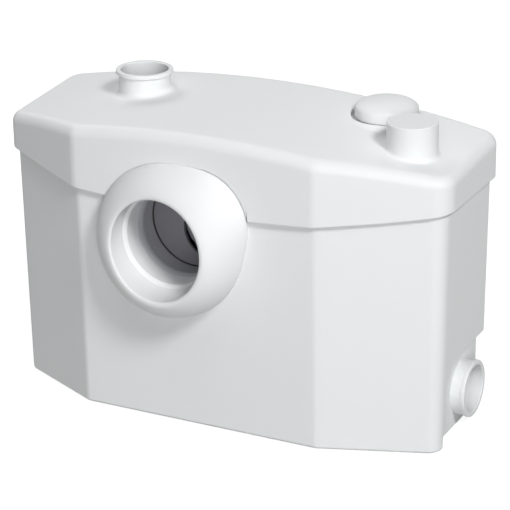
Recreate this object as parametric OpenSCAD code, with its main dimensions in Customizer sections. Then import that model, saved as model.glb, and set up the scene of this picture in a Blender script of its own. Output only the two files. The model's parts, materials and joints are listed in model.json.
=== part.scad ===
// Macerator toilet pump: a floor-standing tank with a lid, a pan socket in front,
// side and top waste inlets, and a vertical motor that drives a cutter and a pump.
// Frame: +X to the right, +Y to the back, +Z up; the origin is under the middle of the tank.

/* [Case] */
// Width of the lid over its skirt
case_w = 402; // [389:1:424]
// Depth of the lid over its skirt
case_d = 148.7; // [146:0.1:165]
// Width of the flat front panel
front_w = 216; // [196:1:230]
// How far the front panel sits left of the middle
front_shift = 7; // [0:0.5:10]
// Depth of the slanted front corners
corner_d = 41.5; // [35:0.5:48]
// Plan radius of the lid's corners
corner_r = 16; // [14:0.5:20]
// Wall of the tank
wall = 3.5; // [3:0.1:4]
// Thickness of the tank's floor
floor_t = 4; // [3:0.5:5]
// How much each side of the tank leans in from rim to floor
draft = 2.5; // [1:0.1:4]
// Radius of the tank's bottom edge
bottom_r = 3; // [2:0.5:5]

/* [Lid] */
// Height of the lid's top in the middle of the case
lid_z = 259.5; // [252:0.5:268]
// Fall of the lid's top from the middle to each end
lid_crown = 20.8; // [14:0.1:24]
// Fall of the lid's top from back to front
lid_fall = 9.8; // [5:0.1:14]
// Rounding of the lid's top edge
lid_edge_r = 10; // [8.5:0.5:11]
// Wall of the lid
lid_wall = 3.5; // [3:0.1:4]
// Height of the lid's lower edge in the middle
parting_z = 190.5; // [184:0.5:196]
// Rise of the lid's lower edge from the middle to each end
parting_rise = 17.5; // [10:0.5:20]
// Height of the tank's rim above the lid's lower edge
rim_up = 10; // [7:0.5:12]
// Gap between the lid's skirt and the tank
skirt_gap = 0.8; // [0.5:0.1:1.2]
// Height of the lid gasket
gasket_t = 2.8; // [2:0.1:4]

/* [Pan socket] */
// Distance of the pan socket from the pump
pan_off = 103.3; // [98:0.1:108]
// Height of the socket's axis
socket_z = 166; // [160:0.5:172]
// Radius of the socket
socket_r = 42; // [41:0.1:44]
// Depth of the socket
socket_depth = 14; // [10:0.5:18]
// Radius of the throat behind the socket
throat_r = 39; // [37.5:0.1:40]
// Radius of the collar where it meets the tank
collar_r = 68; // [64:0.5:70]
// Length of the collar in front of the tank
collar_len = 35; // [30:0.5:40]
// Gap between the collar and the lid's arch
arch_gap = 1.4; // [1:0.1:2]

/* [Inlet chute] */
// Radius of the waste duct's bore
duct_r = 20; // [17:0.5:21]
// Distance of the duct's mouth from the socket's axis
duct_shift = 18; // [15:0.5:18.5]
// Wall of the duct and the chute
duct_wall = 2.5; // [2:0.1:3]
// Bend radius of the duct's lower elbow
duct_bend = 26; // [25:0.5:28]

/* [Ports] */
// Distance of the top port from the left end
port_in = 104.5; // [99:0.5:109]
// Place of the open top port along the depth
port_y = 17; // [10:0.5:24]
// Bore radius of the waste ports
port_r = 20; // [16:0.1:20.5]
// Height of the top port above the lid
port_h = 19.3; // [15:0.1:25]
// Distance of the outlet from the right end
outlet_in = 41.6; // [39:0.1:45]
// Place of the outlet along the depth
outlet_y = -8.6; // [-12:0.1:-5]
// Radius of the outlet stub
stub_r = 21.4; // [20.5:0.1:23]
// Height of the outlet stub above the lid
stub_h = 26; // [22:0.5:32]
// Distance of the vent from the outlet, along the case
vent_off = 40.4; // [35:0.1:45]
// Distance of the vent from the back
vent_back = 36.35; // [34:0.05:40]
// Radius of the vent cap
vent_r = 29.8; // [29:0.1:31]
// Height of the vent cap
vent_h = 12.6; // [10:0.1:15]

/* [Side inlets] */
// Distance of the side inlets from the back
side_back = 39.75; // [38:0.05:42]
// Height of the side inlets
side_z = 30.8; // [30.5:0.1:33]
// How far the side inlets stand out of the case
side_out = 1; // [0:0.5:6]
// Wall of the side inlets
side_wall = 3.2; // [2.5:0.1:3.5]
// Depth of the corner recess in the side of the case
recess_d = 15.5; // [13:0.5:18]
// Height of the corner recess
recess_h = 69; // [68:0.5:80]
// Front edge of the corner recess
recess_y = -21.5; // [-22:0.5:-16]
// Radius of the recess's upper front corner
recess_r = 19; // [10:0.5:24]

/* [Pump] */
// Distance of the pump from the outlet, along the case
pump_off = 81.4; // [79:0.1:84]
// Place of the motor's axis along the depth
pump_y = 2; // [0:0.5:4]
// Room between the motor and the front and back of the case
motor_room = 24.35; // [21.35:0.05:25.35]
// Height of the motor housing
motor_h = 102; // [98:1:112]
// Radius of the motor shaft
shaft_r = 6; // [5:0.1:7]
// Step from the motor in to the basket
basket_step = 6; // [4:0.5:8]
// Height of the basket
basket_h = 60; // [56:0.5:64]
// Radius of the impeller
impeller_r = 31; // [28:0.5:32]
// Height inside the pump casing
casing_h = 26; // [26:0.5:30]
// Bore radius of the discharge pipe
pipe_r = 10; // [8:0.5:10]
// Wall of the discharge pipe
pipe_wall = 3; // [2:0.1:3]
// Bend radius of the discharge elbow
pipe_bend = 20; // [17:0.5:22]

/* [Level switch] */
// Distance of the level switch from the left end
switch_in = 53; // [50:0.5:55]
// Radius of the air tube
air_r = 16; // [13:0.5:18]
// Travel of the plunger
plunger_travel = 1.5; // [1:0.1:2]

/* [Hidden] */
$fn = 64;
// facets round a moulded corner
corner_fn = 32;
// how far a cut runs past a face
over = 1;
// clearance of a seated piece
fit = 0.1;
// clearance of a shaft in its bearing
running = 0.05;
// clearance between pieces that move past each other
gap = 0.4;

// Plan of the case
half_w = case_w / 2;
y_front = -case_d / 2;
y_back = case_d / 2;
y_side = y_front + corner_d;
front_left = -front_w / 2 - front_shift;
front_right = front_w / 2 - front_shift;
outlet_x = half_w - outlet_in;
pump_x = outlet_x - pump_off;
socket_x = pump_x - pan_off;
port_x = -half_w + port_in;
switch_x = -half_w + switch_in;
plan = [[half_w, y_back], [-half_w, y_back], [-half_w, y_side],
        [front_left, y_front], [front_right, y_front], [half_w, y_side]];
// spacing of the lid's cross sections
station_gap = 42;
// steps round a moulded edge
edge_steps = 4;
// steps along half of the parting line
parting_steps = 12;
// facets round a bent pipe and steps along its bend
pipe_fn = 32;
bend_steps = 8;

function unit(v) = v / norm(v);
function left_of(v) = [-v.y, v.x];
function edge_normal(i) = left_of(unit(plan[(i + 1) % len(plan)] - plan[i]));
function post(i) =
    let (a = edge_normal((i + len(plan) - 1) % len(plan)), b = edge_normal(i))
    plan[i] + corner_r * (a + b) / (1 + a * b);
function along(a, b) =
    let (n = max(1, ceil(abs(b.x - a.x) / station_gap)))
    [for (k = [0 : n - 1]) a + (b - a) * k / n];
posts = [for (i = [0 : len(plan) - 1]) post(i)];
stations = [for (i = [0 : len(posts) - 1]) each along(posts[i], posts[(i + 1) % len(posts)])];

function lid_top(x, y) = lid_z - lid_crown * pow(x / half_w, 2) + lid_fall * y / case_d;
function parting(x) = parting_z + parting_rise * pow(x / half_w, 2);

// Tank
tank_inset = lid_wall + skirt_gap;
tank_top = parting_z + parting_rise + rim_up;
cove = 2;
function tank_r(z) = corner_r - tank_inset - draft * (1 - z / tank_top);

// Pan socket
pad_y = y_front + tank_inset;
pad_t = wall + draft;
pad_r = collar_r - 2;
neck_wall = 4;
neck_r = throat_r + neck_wall;
neck_in = pad_t + 5;
collar_skirt = 5;
mouth_wall = 3;
mouth_edge = 2;
step_len = 3;

// Inlet chute
seal_len = 11;
band_len = 14;
chute_seal_t = 1;
chute_plate_t = 3;
chute_out_r = neck_r + fit + duct_wall + 1;
chute_y0 = pad_y + pad_t;
seal_y0 = pad_y + neck_in;
band_y0 = seal_y0 + seal_len;
band_y1 = band_y0 + band_len;
plate_y0 = band_y1 + chute_seal_t;
plate_y1 = plate_y0 + chute_plate_t;
duct_x = socket_x + duct_shift;
duct_out_r = duct_r + duct_wall;
duct_flange_t = 3;
duct_y = plate_y1 + duct_flange_t;
drop_bend = pump_y - duct_y;

// Pump stack, from the floor up
motor_r = case_d / 2 - motor_room;
basket_r = motor_r - basket_step;
foot_h = 6;
foot_r = 6;
base_t = 4;
plate_t = 4;
base_z = floor_t + foot_h;
casing_z = base_z + base_t;
casing_top = casing_z + casing_h + plate_t;
basket_top = casing_top + basket_h;
motor_top = basket_top + motor_h;
tie_rod_r = 2.5;
tie_head_r = tie_rod_r + 2;
tie_pcd_r = motor_r + tie_head_r + gap;
ear_r = tie_head_r + 2;
flange_r = tie_pcd_r + tie_head_r + 1;
volute_min = impeller_r + 4;
volute_grow = 11;
volute_max = volute_min + volute_grow;
casing_wall = 3.5;
nozzle_z = casing_z + casing_h / 2 + 1;
nozzle_off = volute_max - pipe_r - 3;
pipe_out_r = pipe_r + pipe_wall;
pipe_socket = 9;
pipe_socket_r = pipe_out_r + fit + pipe_wall;
nozzle_back = 5;
outlet_dx = outlet_x - pump_x;
outlet_dy = outlet_y - pump_y;
outlet_d = norm([outlet_dx, outlet_dy]);
outlet_run = sqrt(outlet_d * outlet_d - nozzle_off * nozzle_off);
outlet_turn = atan2(outlet_dy, outlet_dx) + asin(nozzle_off / outlet_d);
nozzle_len = sqrt(pow(volute_max + casing_wall, 2) - nozzle_off * nozzle_off) + 12;
eye_r = impeller_r * 0.45;
base_screw_r = flange_r - tie_head_r;
base_screw_angles = [0, 72, 144, 216];
tie_angles = [45, 135, 225, 315];
boss_h = 8;

// Basket
basket_wall = 2.5;
basket_rim = 4;
basket_flange = 4;
slot_w = 3.2;
slot_count = 28;
basket_in_z = casing_top + basket_h - duct_out_r - 6;
basket_socket = 11;

// Cutter and impeller
blade_z = casing_top + 7;
blade_t = 3.5;
blade_tip_r = basket_r - basket_wall - 2.5;
blade_w = 13;
knife_h = 11;
hub_h = 12;
hub_r = shaft_r + 7;
shroud_t = 3;
impeller_gap = 1.6;
vane_t = 2.4;
vane_count = 6;
impeller_hub_r = shaft_r + 4;
impeller_bottom = casing_z + impeller_gap;
impeller_top = casing_z + casing_h - impeller_gap;
screw_head_h = 3;
shaft_bottom = impeller_bottom + screw_head_h;

// Motor
motor_wall = 4;
motor_floor = 8;
motor_in_r = motor_r - motor_wall;
bearing_r = shaft_r + 10;
bearing_h = 10;
bearing_wall = 4;
seal_r = shaft_r + 7;
seal_h = motor_floor - 2;
stator_z = basket_top + motor_floor + bearing_h + 6;
stator_h = 50;
rotor_r = motor_in_r * 0.55;
air_gap = 0.8;
coil_count = 12;
coil_r = 3.2;
coil_pcd_r = (rotor_r + motor_in_r) / 2 - 1;
end_turn_h = 9;
cap_plate_t = 6;
cap_crown = 6;
cap_lip = 3;
shaft_top = motor_top - 1;

// Top port
port_neck = port_r + 2;
port_lip = port_r + 4.2;
port_foot = 5;

// Discharge valve, up the outlet's axis
valve_z = 150;
valve_socket = 10;
valve_seat_t = 3;
valve_seat_r = pipe_r + 1.5;
valve_r = pipe_out_r + 5.5;
valve_wall = 3;
valve_h = 38;
valve_cone = 5;
valve_floor = valve_z + valve_socket + valve_seat_t;
valve_roof = valve_floor + valve_h;
valve_top = valve_roof + valve_cone + valve_socket;
valve_flap_r = valve_seat_r + 2.5;
valve_flap_t = 2;
valve_pin_r = 1.5;
valve_hinge_x = outlet_x - valve_r + 3.2;
valve_hinge_z = valve_floor + gap + 2.2;
stub_bore = stub_r - 4.4;
stub_foot = 4;
stub_z = lid_top(outlet_x, outlet_y);
outlet_cap_t = 3.2;
stub_edge_z = stub_z + stub_h - outlet_cap_t;
outlet_plug_h = 6.4;
outlet_seal_t = 6;

// Side inlets
side_y = y_back - side_back;
side_reach = half_w + side_out;
side_bore_wall = half_w - recess_d;
side_in = side_bore_wall - wall;
side_r = port_r + side_wall;
side_lip = 1;
side_lip_w = 3;
side_seal_t = 1.5;
side_flange_t = 3;
side_flange_r = side_r + 2.6;
side_seat_x = side_in - side_seal_t - side_flange_t;
side_flap_t = 2.5;
side_flap_r = port_r + 2.6;
side_pin_r = 2;
side_hinge_x = side_seat_x - gap - side_flap_t / 2;
side_hinge_z = side_z + side_flange_r + 4.4;
side_ear_w = 17;
side_lug_w = 4;
side_lug_x = 5;

// Vent
vent_x = outlet_x - vent_off;
vent_y = y_back - vent_back;
vent_z = lid_top(vent_x, vent_y);
vent_rim_z = lid_top(vent_x - vent_r, vent_y) + 1.2;
vent_boss_r = vent_r - 4.3;
vent_hole_r = vent_boss_r - 8.5;
vent_pocket_r = vent_boss_r - 2.8;
vent_drop = 16;
vent_roof = 6;
vent_edge = 5;

// Level switch
tray_t = 3;
tray_z = 184;
// the tube hangs in front of the left inlet's flap
switch_y = side_y - side_flap_r - air_r - 1.5;
air_flange_r = air_r + 6;
tray_w = 2 * (air_flange_r + 3);
tray_y0 = switch_y - air_flange_r - 3;
tray_back = 13;
tray_y1 = y_back - tray_back;
ledge_h = 8;
ledge_w = tray_w / 2 - air_r - 1.5;
air_wall = 2.5;
air_flange_t = 3;
air_bottom = floor_t + 8;
membrane_t = 1.5;
membrane_z = tray_z + tray_t + air_flange_t;
switch_z = membrane_z + membrane_t;
switch_h = 14;
switch_wall = 3;
plunger_r = 4;
plunger_head_r = 9;
plunger_tip_r = 1.5;
plunger_top = switch_z + switch_h + 9;
micro_d = 8;
lever_arm = 12;
lever_end = 5;
lever_t = 0.8;
lever_z = plunger_top + gap;
lever_x = switch_x + lever_arm;
lever_pin_r = 1;
micro_z = switch_z + switch_h;
micro_top = lever_z - plunger_travel - 2 * gap - 1;
micro_cheek = 1.4;
capacitor_r = 14;
capacitor_len = tray_w - 8;
capacitor_y = tray_y1 - capacitor_r - 3;
saddle_h = 6;

// Cable gland
gland_off = 36.5;
gland_x = port_x + gland_off;
gland_z = 172;
gland_r = 6;
gland_flange_r = 11;
gland_bore_r = 3.6;
gland_t = 3.6;

white = "#eef0f1";
shade_white = "#dfe3e5";
rubber = "#2b2c2e";
dark_grey = "#56565c";
steel = "#b9bdc1";
copper = "#b8733a";

// Rounded profile of a moulded edge: [radius, height below the top]
function rounded_edge(r, e) =
    [for (k = [0 : edge_steps]) [r - e * (1 - cos(90 * k / edge_steps)),
                                 -e * (1 - sin(90 * k / edge_steps))]];

module ring(r_out, r_in, h) {
    difference() {
        cylinder(h = h, r = r_out);
        translate([0, 0, -over]) cylinder(h = h + 2 * over, r = r_in);
    }
}

// Closed tube through rings of [centre, two axes, radius], out along its skin and back in its bore
module tube(rings) {
    m = len(rings);
    points = [for (g = rings)
              for (k = [0 : pipe_fn - 1])
              let (a = 360 * k / pipe_fn)
              g[0] + g[3] * (cos(a) * g[1] + sin(a) * g[2])];
    faces = [for (i = [0 : m - 1])
             for (k = [0 : pipe_fn - 1])
             let (j = (i + 1) % m, l = (k + 1) % pipe_fn)
             [i * pipe_fn + k, j * pipe_fn + k, j * pipe_fn + l, i * pipe_fn + l]];
    polyhedron(points, faces);
}

module stacked_cones(levels) {
    for (i = [0 : len(levels) - 2])
        translate([0, 0, levels[i][1]])
            cylinder(h = levels[i + 1][1] - levels[i][1], r1 = levels[i][0],
                     r2 = levels[i + 1][0], $fn = corner_fn);
}

// A form with the case's plan, whose corner posts have the given levels
module case_form(levels) {
    hull()
        for (p = posts)
            translate([p.x, p.y, 0]) stacked_cones(levels);
}

// A form with the lid's crowned top, set in by t and lowered by drop
module lid_form(t, drop) {
    r = corner_r - t;
    e = max(lid_edge_r - t, 1);
    skirt = lid_z - parting_z + 3 * rim_up;
    levels = concat([[r, -skirt]], rounded_edge(r, e));
    hull()
        for (p = stations)
            translate([p.x, p.y, lid_top(p.x, p.y) - drop]) stacked_cones(levels);
}

// Everything below the parting line raised by up
module below_parting(up) {
    reach = half_w + 5 * over;
    edge = [for (k = [-parting_steps : parting_steps])
            let (x = reach * k / parting_steps) [x, parting(x) + up]];
    rotate([90, 0, 0])
        linear_extrude(height = 2 * case_d, center = true)
            polygon(concat(edge, [[reach, -over], [-reach, -over]]));
}

// A cylinder along +Y from y0 to y1 on the socket's axis
module on_socket(r, y0, y1) {
    translate([socket_x, y1, socket_z]) rotate([90, 0, 0]) cylinder(h = y1 - y0, r = r);
}

// Corner recess, grown by the given wall
module side_recess(grow) {
    r = recess_r + grow;
    y0 = recess_y - grow;
    z1 = recess_h + grow;
    arc = [for (k = [0 : 2 * edge_steps])
           let (a = 90 * k / (2 * edge_steps))
           [y0 + r * (1 - cos(a)), z1 - r * (1 - sin(a))]];
    translate([side_bore_wall - grow, 0, 0])
        rotate([90, 0, 90])
            linear_extrude(height = recess_d + grow + over)
                polygon(concat([[y0, -over]], arc, [[y_back + over, z1], [y_back + over, -over]]));
}

module at_side() {
    translate([0, side_y, side_z]) rotate([0, 90, 0]) children();
}

module both_sides() {
    children();
    mirror([1, 0, 0]) children();
}

module at_pump(z) {
    translate([pump_x, pump_y, z]) children();
}

module at_outlet(z) {
    translate([outlet_x, outlet_y, z]) children();
}

// The lid's surface at x, y, leaning with its crown and fall
module on_lid(x, y) {
    translate([x, y, lid_top(x, y)])
        rotate([atan(lid_fall / case_d), atan(2 * lid_crown * x / (half_w * half_w)), 0])
            children();
}

// Fillet round a wall of radius r that stands on the lid
module lid_foot(r, foot) {
    arc = [for (k = [0 : edge_steps])
           let (a = 90 * k / edge_steps)
           [r + foot * (1 - sin(a)), foot * (1 - cos(a))]];
    rotate_extrude()
        polygon(concat([[0, -2 * lid_wall], [r + foot, -2 * lid_wall]], arc, [[0, foot]]));
}

// The pump's own frame, turned so that its nozzle points along X to the outlet
module in_pump(z) {
    at_pump(z) rotate([0, 0, outlet_turn]) children();
}

// Rim, floor, walls, corner recesses and the upright disc behind the pan collar
module tank() {
    bottom = [for (k = [0 : edge_steps])
              let (a = 90 * k / edge_steps)
              [tank_r(0) - bottom_r * (1 - sin(a)), bottom_r * (1 - cos(a))]];
    outer = concat(bottom, [[tank_r(tank_top), tank_top]]);
    inner = [[tank_r(floor_t) - wall - cove, floor_t],
             [tank_r(floor_t) - wall, floor_t + cove],
             [tank_r(tank_top) - wall, tank_top + over]];
    color(white)
    difference() {
        union() {
            difference() {
                intersection() {
                    case_form(outer);
                    below_parting(rim_up);
                }
                difference() {
                    case_form(inner);
                    both_sides() side_recess(wall);
                }
            }
            on_socket(pad_r, pad_y, pad_y + pad_t);
            tray_ledges();
        }
        both_sides() side_recess(0);
        on_socket(neck_r + fit, pad_y - over, pad_y + pad_t + over);
        both_sides()
            translate([side_in - over, 0, 0])
                at_side() cylinder(h = wall + recess_d, r = side_r + fit);
        translate([gland_x, y_back + over, gland_z])
            rotate([90, 0, 0]) cylinder(h = wall + draft + tank_inset + 2 * over, r = gland_r + fit);
    }
}

module tray_ledges() {
    tray_x0 = switch_x - tray_w / 2;
    wall_x = -half_w + tank_inset + wall / 2;
    wall_y = y_back - tank_inset - wall / 2;
    translate([tray_x0, tray_y1 - ledge_w, tray_z - ledge_h])
        cube([tray_w, wall_y - tray_y1 + ledge_w - draft / 2, ledge_h]);
    translate([wall_x + draft / 2, switch_y, tray_z - ledge_h])
        cube([tray_x0 + ledge_w - wall_x - draft / 2, tray_y1 - switch_y, ledge_h]);
}

// Crowned cover with its skirt, top port, outlet stub and vent seat
module lid() {
    shoulder = tank_inset + wall;
    skirt_r = corner_r - lid_wall;
    color(white)
    difference() {
        union() {
            difference() {
                lid_form(0, 0);
                lid_form(shoulder, lid_wall);
                intersection() {
                    case_form([[skirt_r, 0], [skirt_r, tank_top + 2 * gasket_t]]);
                    below_parting(rim_up + gasket_t + fit);
                }
                below_parting(0);
                on_socket(collar_r + arch_gap, y_front - over, pad_y + pad_t);
            }
            translate([port_x, port_y, lid_top(port_x, port_y)]) port_wall();
            on_lid(port_x, port_y) lid_foot(port_neck, port_foot);
            at_outlet(stub_z) cylinder(h = stub_h - outlet_cap_t, r = stub_r);
            on_lid(outlet_x, outlet_y) lid_foot(stub_r, stub_foot);
            translate([vent_x, vent_y, vent_z - vent_drop])
                cylinder(h = vent_drop + vent_rim_z - vent_z + 0.5, r = vent_boss_r);
        }
        translate([port_x, port_y, lid_top(port_x, port_y) - 3 * lid_wall])
            cylinder(h = port_h + 4 * lid_wall, r = port_r);
        at_outlet(stub_z - 4 * lid_wall)
            cylinder(h = stub_h + 5 * lid_wall, r = stub_bore);
        translate([vent_x, vent_y, vent_z - vent_drop - over])
            cylinder(h = vent_drop - vent_roof + over, r = vent_pocket_r);
        translate([vent_x, vent_y, vent_z - vent_drop])
            cylinder(h = vent_drop + vent_h, r = vent_hole_r);
    }
}

// Lipped spout
module port_wall() {
    lip_h = 3;
    chamfer = 1;
    rotate_extrude()
        polygon([[0, 0], [port_neck, 0], [port_neck, port_h - lip_h - chamfer],
                 [port_lip, port_h - lip_h], [port_lip, port_h - chamfer],
                 [port_lip - chamfer, port_h], [0, port_h]]);
}

module lid_gasket() {
    r_out = tank_r(parting_z) - fit;
    r_in = tank_r(parting_z) - wall + fit;
    color(rubber)
    difference() {
        intersection() {
            case_form([[r_out, 0], [r_out, tank_top + 2 * gasket_t]]);
            below_parting(rim_up + gasket_t);
        }
        case_form([[r_in, -over], [r_in, tank_top + 3 * gasket_t]]);
        below_parting(rim_up);
        on_socket(collar_r + arch_gap, y_front, pad_y + 2 * pad_t);
    }
}

// Domed collar with the pan socket and a neck through the tank's front
module inlet_collar() {
    mouth_r = socket_r + mouth_wall;
    step_z = collar_len - socket_depth;
    dome_r = collar_r - mouth_r;
    dome_h = collar_len - collar_skirt;
    steps = 12;
    dome = [for (k = [0 : steps])
            let (a = 90 * k / steps)
            [mouth_r + dome_r * sin(a), collar_skirt + dome_h * cos(a)]];
    edge = [for (k = [0 : edge_steps])
            let (a = 90 * k / edge_steps)
            [socket_r + mouth_edge * (1 - cos(a)), collar_len - mouth_edge * (1 - sin(a))]];
    color(white)
    translate([socket_x, pad_y, socket_z])
        rotate([90, 0, 0])
            rotate_extrude()
                polygon(concat([[throat_r, -neck_in], [throat_r, step_z - step_len],
                                [socket_r, step_z]],
                               edge, dome,
                               [[collar_r, 0], [neck_r, 0], [neck_r, -neck_in]]));
}

// Pale rubber ring between the collar's neck and the chute
module inlet_seal() {
    lip = 1.5;
    color(shade_white)
    translate([socket_x, band_y0, socket_z])
        rotate([90, 0, 0])
            rotate_extrude()
                polygon([[throat_r, fit], [neck_r, fit], [neck_r, seal_len - fit],
                         [throat_r, seal_len - fit], [throat_r - lip, seal_len / 2]]);
}

// Drum behind the socket, open at the back
module inlet_chute() {
    total = band_y1 - chute_y0;
    color(dark_grey)
    translate([socket_x, band_y1, socket_z])
        rotate([90, 0, 0])
            rotate_extrude()
                polygon([[throat_r, 0], [chute_out_r, 0], [chute_out_r, total],
                         [neck_r + fit, total], [neck_r + fit, band_len], [throat_r, band_len]]);
}

module chute_seal() {
    color("black")
    difference() {
        on_socket(chute_out_r, band_y1, plate_y0);
        on_socket(throat_r - 1, band_y1 - over, plate_y0 + over);
    }
}

// Back of the chute, with the mouth of the duct
module chute_plate() {
    color(dark_grey)
    difference() {
        on_socket(chute_out_r, plate_y0, plate_y1);
        translate([duct_x, plate_y1 + over, socket_z])
            rotate([90, 0, 0]) cylinder(h = chute_plate_t + 2 * over, r = duct_r);
    }
}

// Bends of the duct, back from the chute and then towards the basket
function duct_back(a, r) =
    [[duct_x, duct_y + drop_bend * sin(a), socket_z - drop_bend * (1 - cos(a))],
     [1, 0, 0], [0, -sin(a), -cos(a)], r];
function duct_side(a, r) =
    [[duct_x + duct_bend * (1 - cos(a)), pump_y, basket_in_z + duct_bend * (1 - sin(a))],
     [cos(a), 0, sin(a)], [0, -1, 0], r];
function duct_end(r) =
    [[pump_x - basket_r - 1, pump_y, basket_in_z], [0, 0, 1], [0, -1, 0], r];
function duct_mouth(y, r) = [[duct_x, y, socket_z], [1, 0, 0], [0, 0, -1], r];

// Flanged pipe from the chute down into the basket
module inlet_duct() {
    flange = duct_out_r + 5;
    turn = [for (k = [0 : bend_steps]) 90 * k / bend_steps];
    back = [for (k = [bend_steps : -1 : 0]) 90 * k / bend_steps];
    color(dark_grey)
    tube(concat([duct_mouth(plate_y1, flange), duct_mouth(duct_y, flange)],
                [for (a = turn) duct_back(a, duct_out_r)],
                [for (a = turn) duct_side(a, duct_out_r)],
                [duct_end(duct_out_r), duct_end(duct_r)],
                [for (a = back) duct_side(a, duct_r)],
                [for (a = back) duct_back(a, duct_r)],
                [duct_mouth(plate_y1, duct_r)]));
}

// Slotted cage round the cutter, with a socket for the duct
module basket() {
    socket_out = duct_out_r + fit + 2;
    blocked = asin((socket_out + slot_w) / basket_r);
    slot_h = basket_h - 2 * basket_rim - 8;
    color(shade_white)
    difference() {
        union() {
            at_pump(casing_top) cylinder(h = basket_h, r = basket_r);
            at_pump(casing_top) cylinder(h = basket_rim, r = basket_r + basket_flange);
            at_pump(basket_top - basket_rim)
                cylinder(h = basket_rim, r = basket_r + basket_flange);
            translate([pump_x - basket_r - basket_socket, pump_y, basket_in_z])
                rotate([0, 90, 0]) cylinder(h = basket_socket + basket_r / 2, r = socket_out);
        }
        at_pump(casing_top - over)
            cylinder(h = basket_h + 2 * over, r = basket_r - basket_wall);
        translate([pump_x - basket_r - basket_socket - over, pump_y, basket_in_z])
            rotate([0, 90, 0])
                cylinder(h = basket_socket + basket_r / 2 + over, r = duct_out_r + fit);
        for (k = [0 : slot_count - 1])
            let (a = 360 * k / slot_count)
                if (abs(a - 180) > blocked)
                    at_pump(casing_top + basket_rim + 4)
                        rotate([0, 0, a])
                            translate([basket_r - 2 * basket_wall, -slot_w / 2, 0])
                                cube([4 * basket_wall, slot_w, slot_h]);
    }
}

// Two-armed cutter with upturned knives
module cutter_blade() {
    knife_t = 3;
    color(steel)
    at_pump(blade_z)
    difference() {
        union() {
            cylinder(h = blade_t, r = hub_r + 2);
            translate([-blade_tip_r + 1, -blade_w / 2, 0])
                cube([2 * blade_tip_r - 2, blade_w, blade_t]);
            for (a = [0, 180])
                rotate([0, 0, a])
                    translate([blade_tip_r - 1 - knife_t, -blade_w / 2, 0])
                        cube([knife_t, blade_w, knife_h]);
        }
        translate([0, 0, -over]) cylinder(h = knife_h + 2 * over, r = shaft_r + running);
    }
}

// Clamping hub that holds the cutter on the shaft
module blade_hub() {
    grub_r = 2;
    color(steel)
    at_pump(blade_z + blade_t)
    difference() {
        cylinder(h = hub_h, r = hub_r);
        translate([0, 0, -over]) cylinder(h = hub_h + 2 * over, r = shaft_r + running);
        translate([0, 0, hub_h / 2])
            rotate([0, 90, 0]) cylinder(h = hub_r + over, r = grub_r);
    }
}

// Spiral of the volute, grown by t, widest where the nozzle leaves it
module volute(t) {
    turn_steps = 36;
    polygon([for (k = [0 : turn_steps])
             let (a = 360 * k / turn_steps, r = volute_min + (volute_max - volute_min) * k / turn_steps)
             (r + t) * [cos(a - 90), sin(a - 90)]]);
}

// Room in the flanges for the discharge pipe's socket
module pipe_room() {
    half = pipe_socket_r + gap;
    in_pump(nozzle_z)
        translate([nozzle_len - pipe_socket - gap, -nozzle_off - half, -half])
            cube([flange_r, 2 * half, 2 * half]);
}

// Spiral pump casing with its nozzle, floor flange and the seat of the basket
module pump_casing() {
    flange_t = 4;
    color(shade_white)
    difference() {
        union() {
            in_pump(casing_z) linear_extrude(height = casing_h + plate_t) volute(casing_wall);
            difference() {
                union() {
                    at_pump(casing_top - plate_t) cylinder(h = plate_t, r = flange_r);
                    at_pump(casing_z) cylinder(h = flange_t, r = flange_r);
                }
                pipe_room();
            }
            in_pump(nozzle_z)
                translate([-nozzle_back, -nozzle_off, 0])
                    rotate([0, 90, 0]) cylinder(h = nozzle_back + nozzle_len, r = pipe_out_r);
            for (a = tie_angles)
                at_pump(casing_top)
                    rotate([0, 0, a]) translate([tie_pcd_r, 0, -over])
                        cylinder(h = boss_h + over, r = tie_head_r);
        }
        in_pump(casing_z - over) linear_extrude(height = casing_h + over) volute(0);
        in_pump(nozzle_z)
            translate([-nozzle_back, -nozzle_off, 0])
                rotate([0, 90, 0]) cylinder(h = nozzle_back + nozzle_len + over, r = pipe_r);
        at_pump(casing_top - plate_t - over)
            cylinder(h = plate_t + 2 * over, r = shaft_r + gap);
        for (a = tie_angles)
            at_pump(casing_top)
                rotate([0, 0, a]) translate([tie_pcd_r, 0, -2])
                    cylinder(h = boss_h + 2 + over, r = tie_rod_r + fit);
        for (a = base_screw_angles)
            in_pump(casing_z - over)
                rotate([0, 0, a]) translate([base_screw_r, 0, 0])
                    cylinder(h = flange_t + 2 * over, r = tie_rod_r + fit);
    }
}

// Floor of the pump, on feet that leave the suction eye clear
module pump_base() {
    foot_pcd_r = flange_r - 1.6 * foot_r;
    color(shade_white)
    difference() {
        union() {
            in_pump(base_z) cylinder(h = base_t, r = flange_r);
            for (a = base_screw_angles)
                in_pump(floor_t)
                    rotate([0, 0, a + 36]) translate([foot_pcd_r, 0, 0])
                        cylinder(h = foot_h + over, r = foot_r);
        }
        in_pump(base_z - over) cylinder(h = base_t + 2 * over, r = eye_r);
        pipe_room();
        for (a = base_screw_angles)
            in_pump(base_z - over)
                rotate([0, 0, a]) translate([base_screw_r, 0, 0])
                    cylinder(h = base_t + 2 * over, r = tie_rod_r + fit);
    }
}

module base_screws() {
    head_h = 2.5;
    color(steel)
    for (a = base_screw_angles)
        in_pump(base_z)
            rotate([0, 0, a]) translate([base_screw_r, 0, 0]) {
                cylinder(h = base_t + 3.5, r = tie_rod_r);
                translate([0, 0, -head_h]) cylinder(h = head_h, r = tie_rod_r + 1.8);
            }
}

// Angle on a vane's arc at distance d from the shaft
vane_c = impeller_r / 2;
vane_r = vane_c + 1;
function vane_angle(d) = acos((d * d - vane_c * vane_c - vane_r * vane_r) / (2 * vane_c * vane_r));

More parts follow.
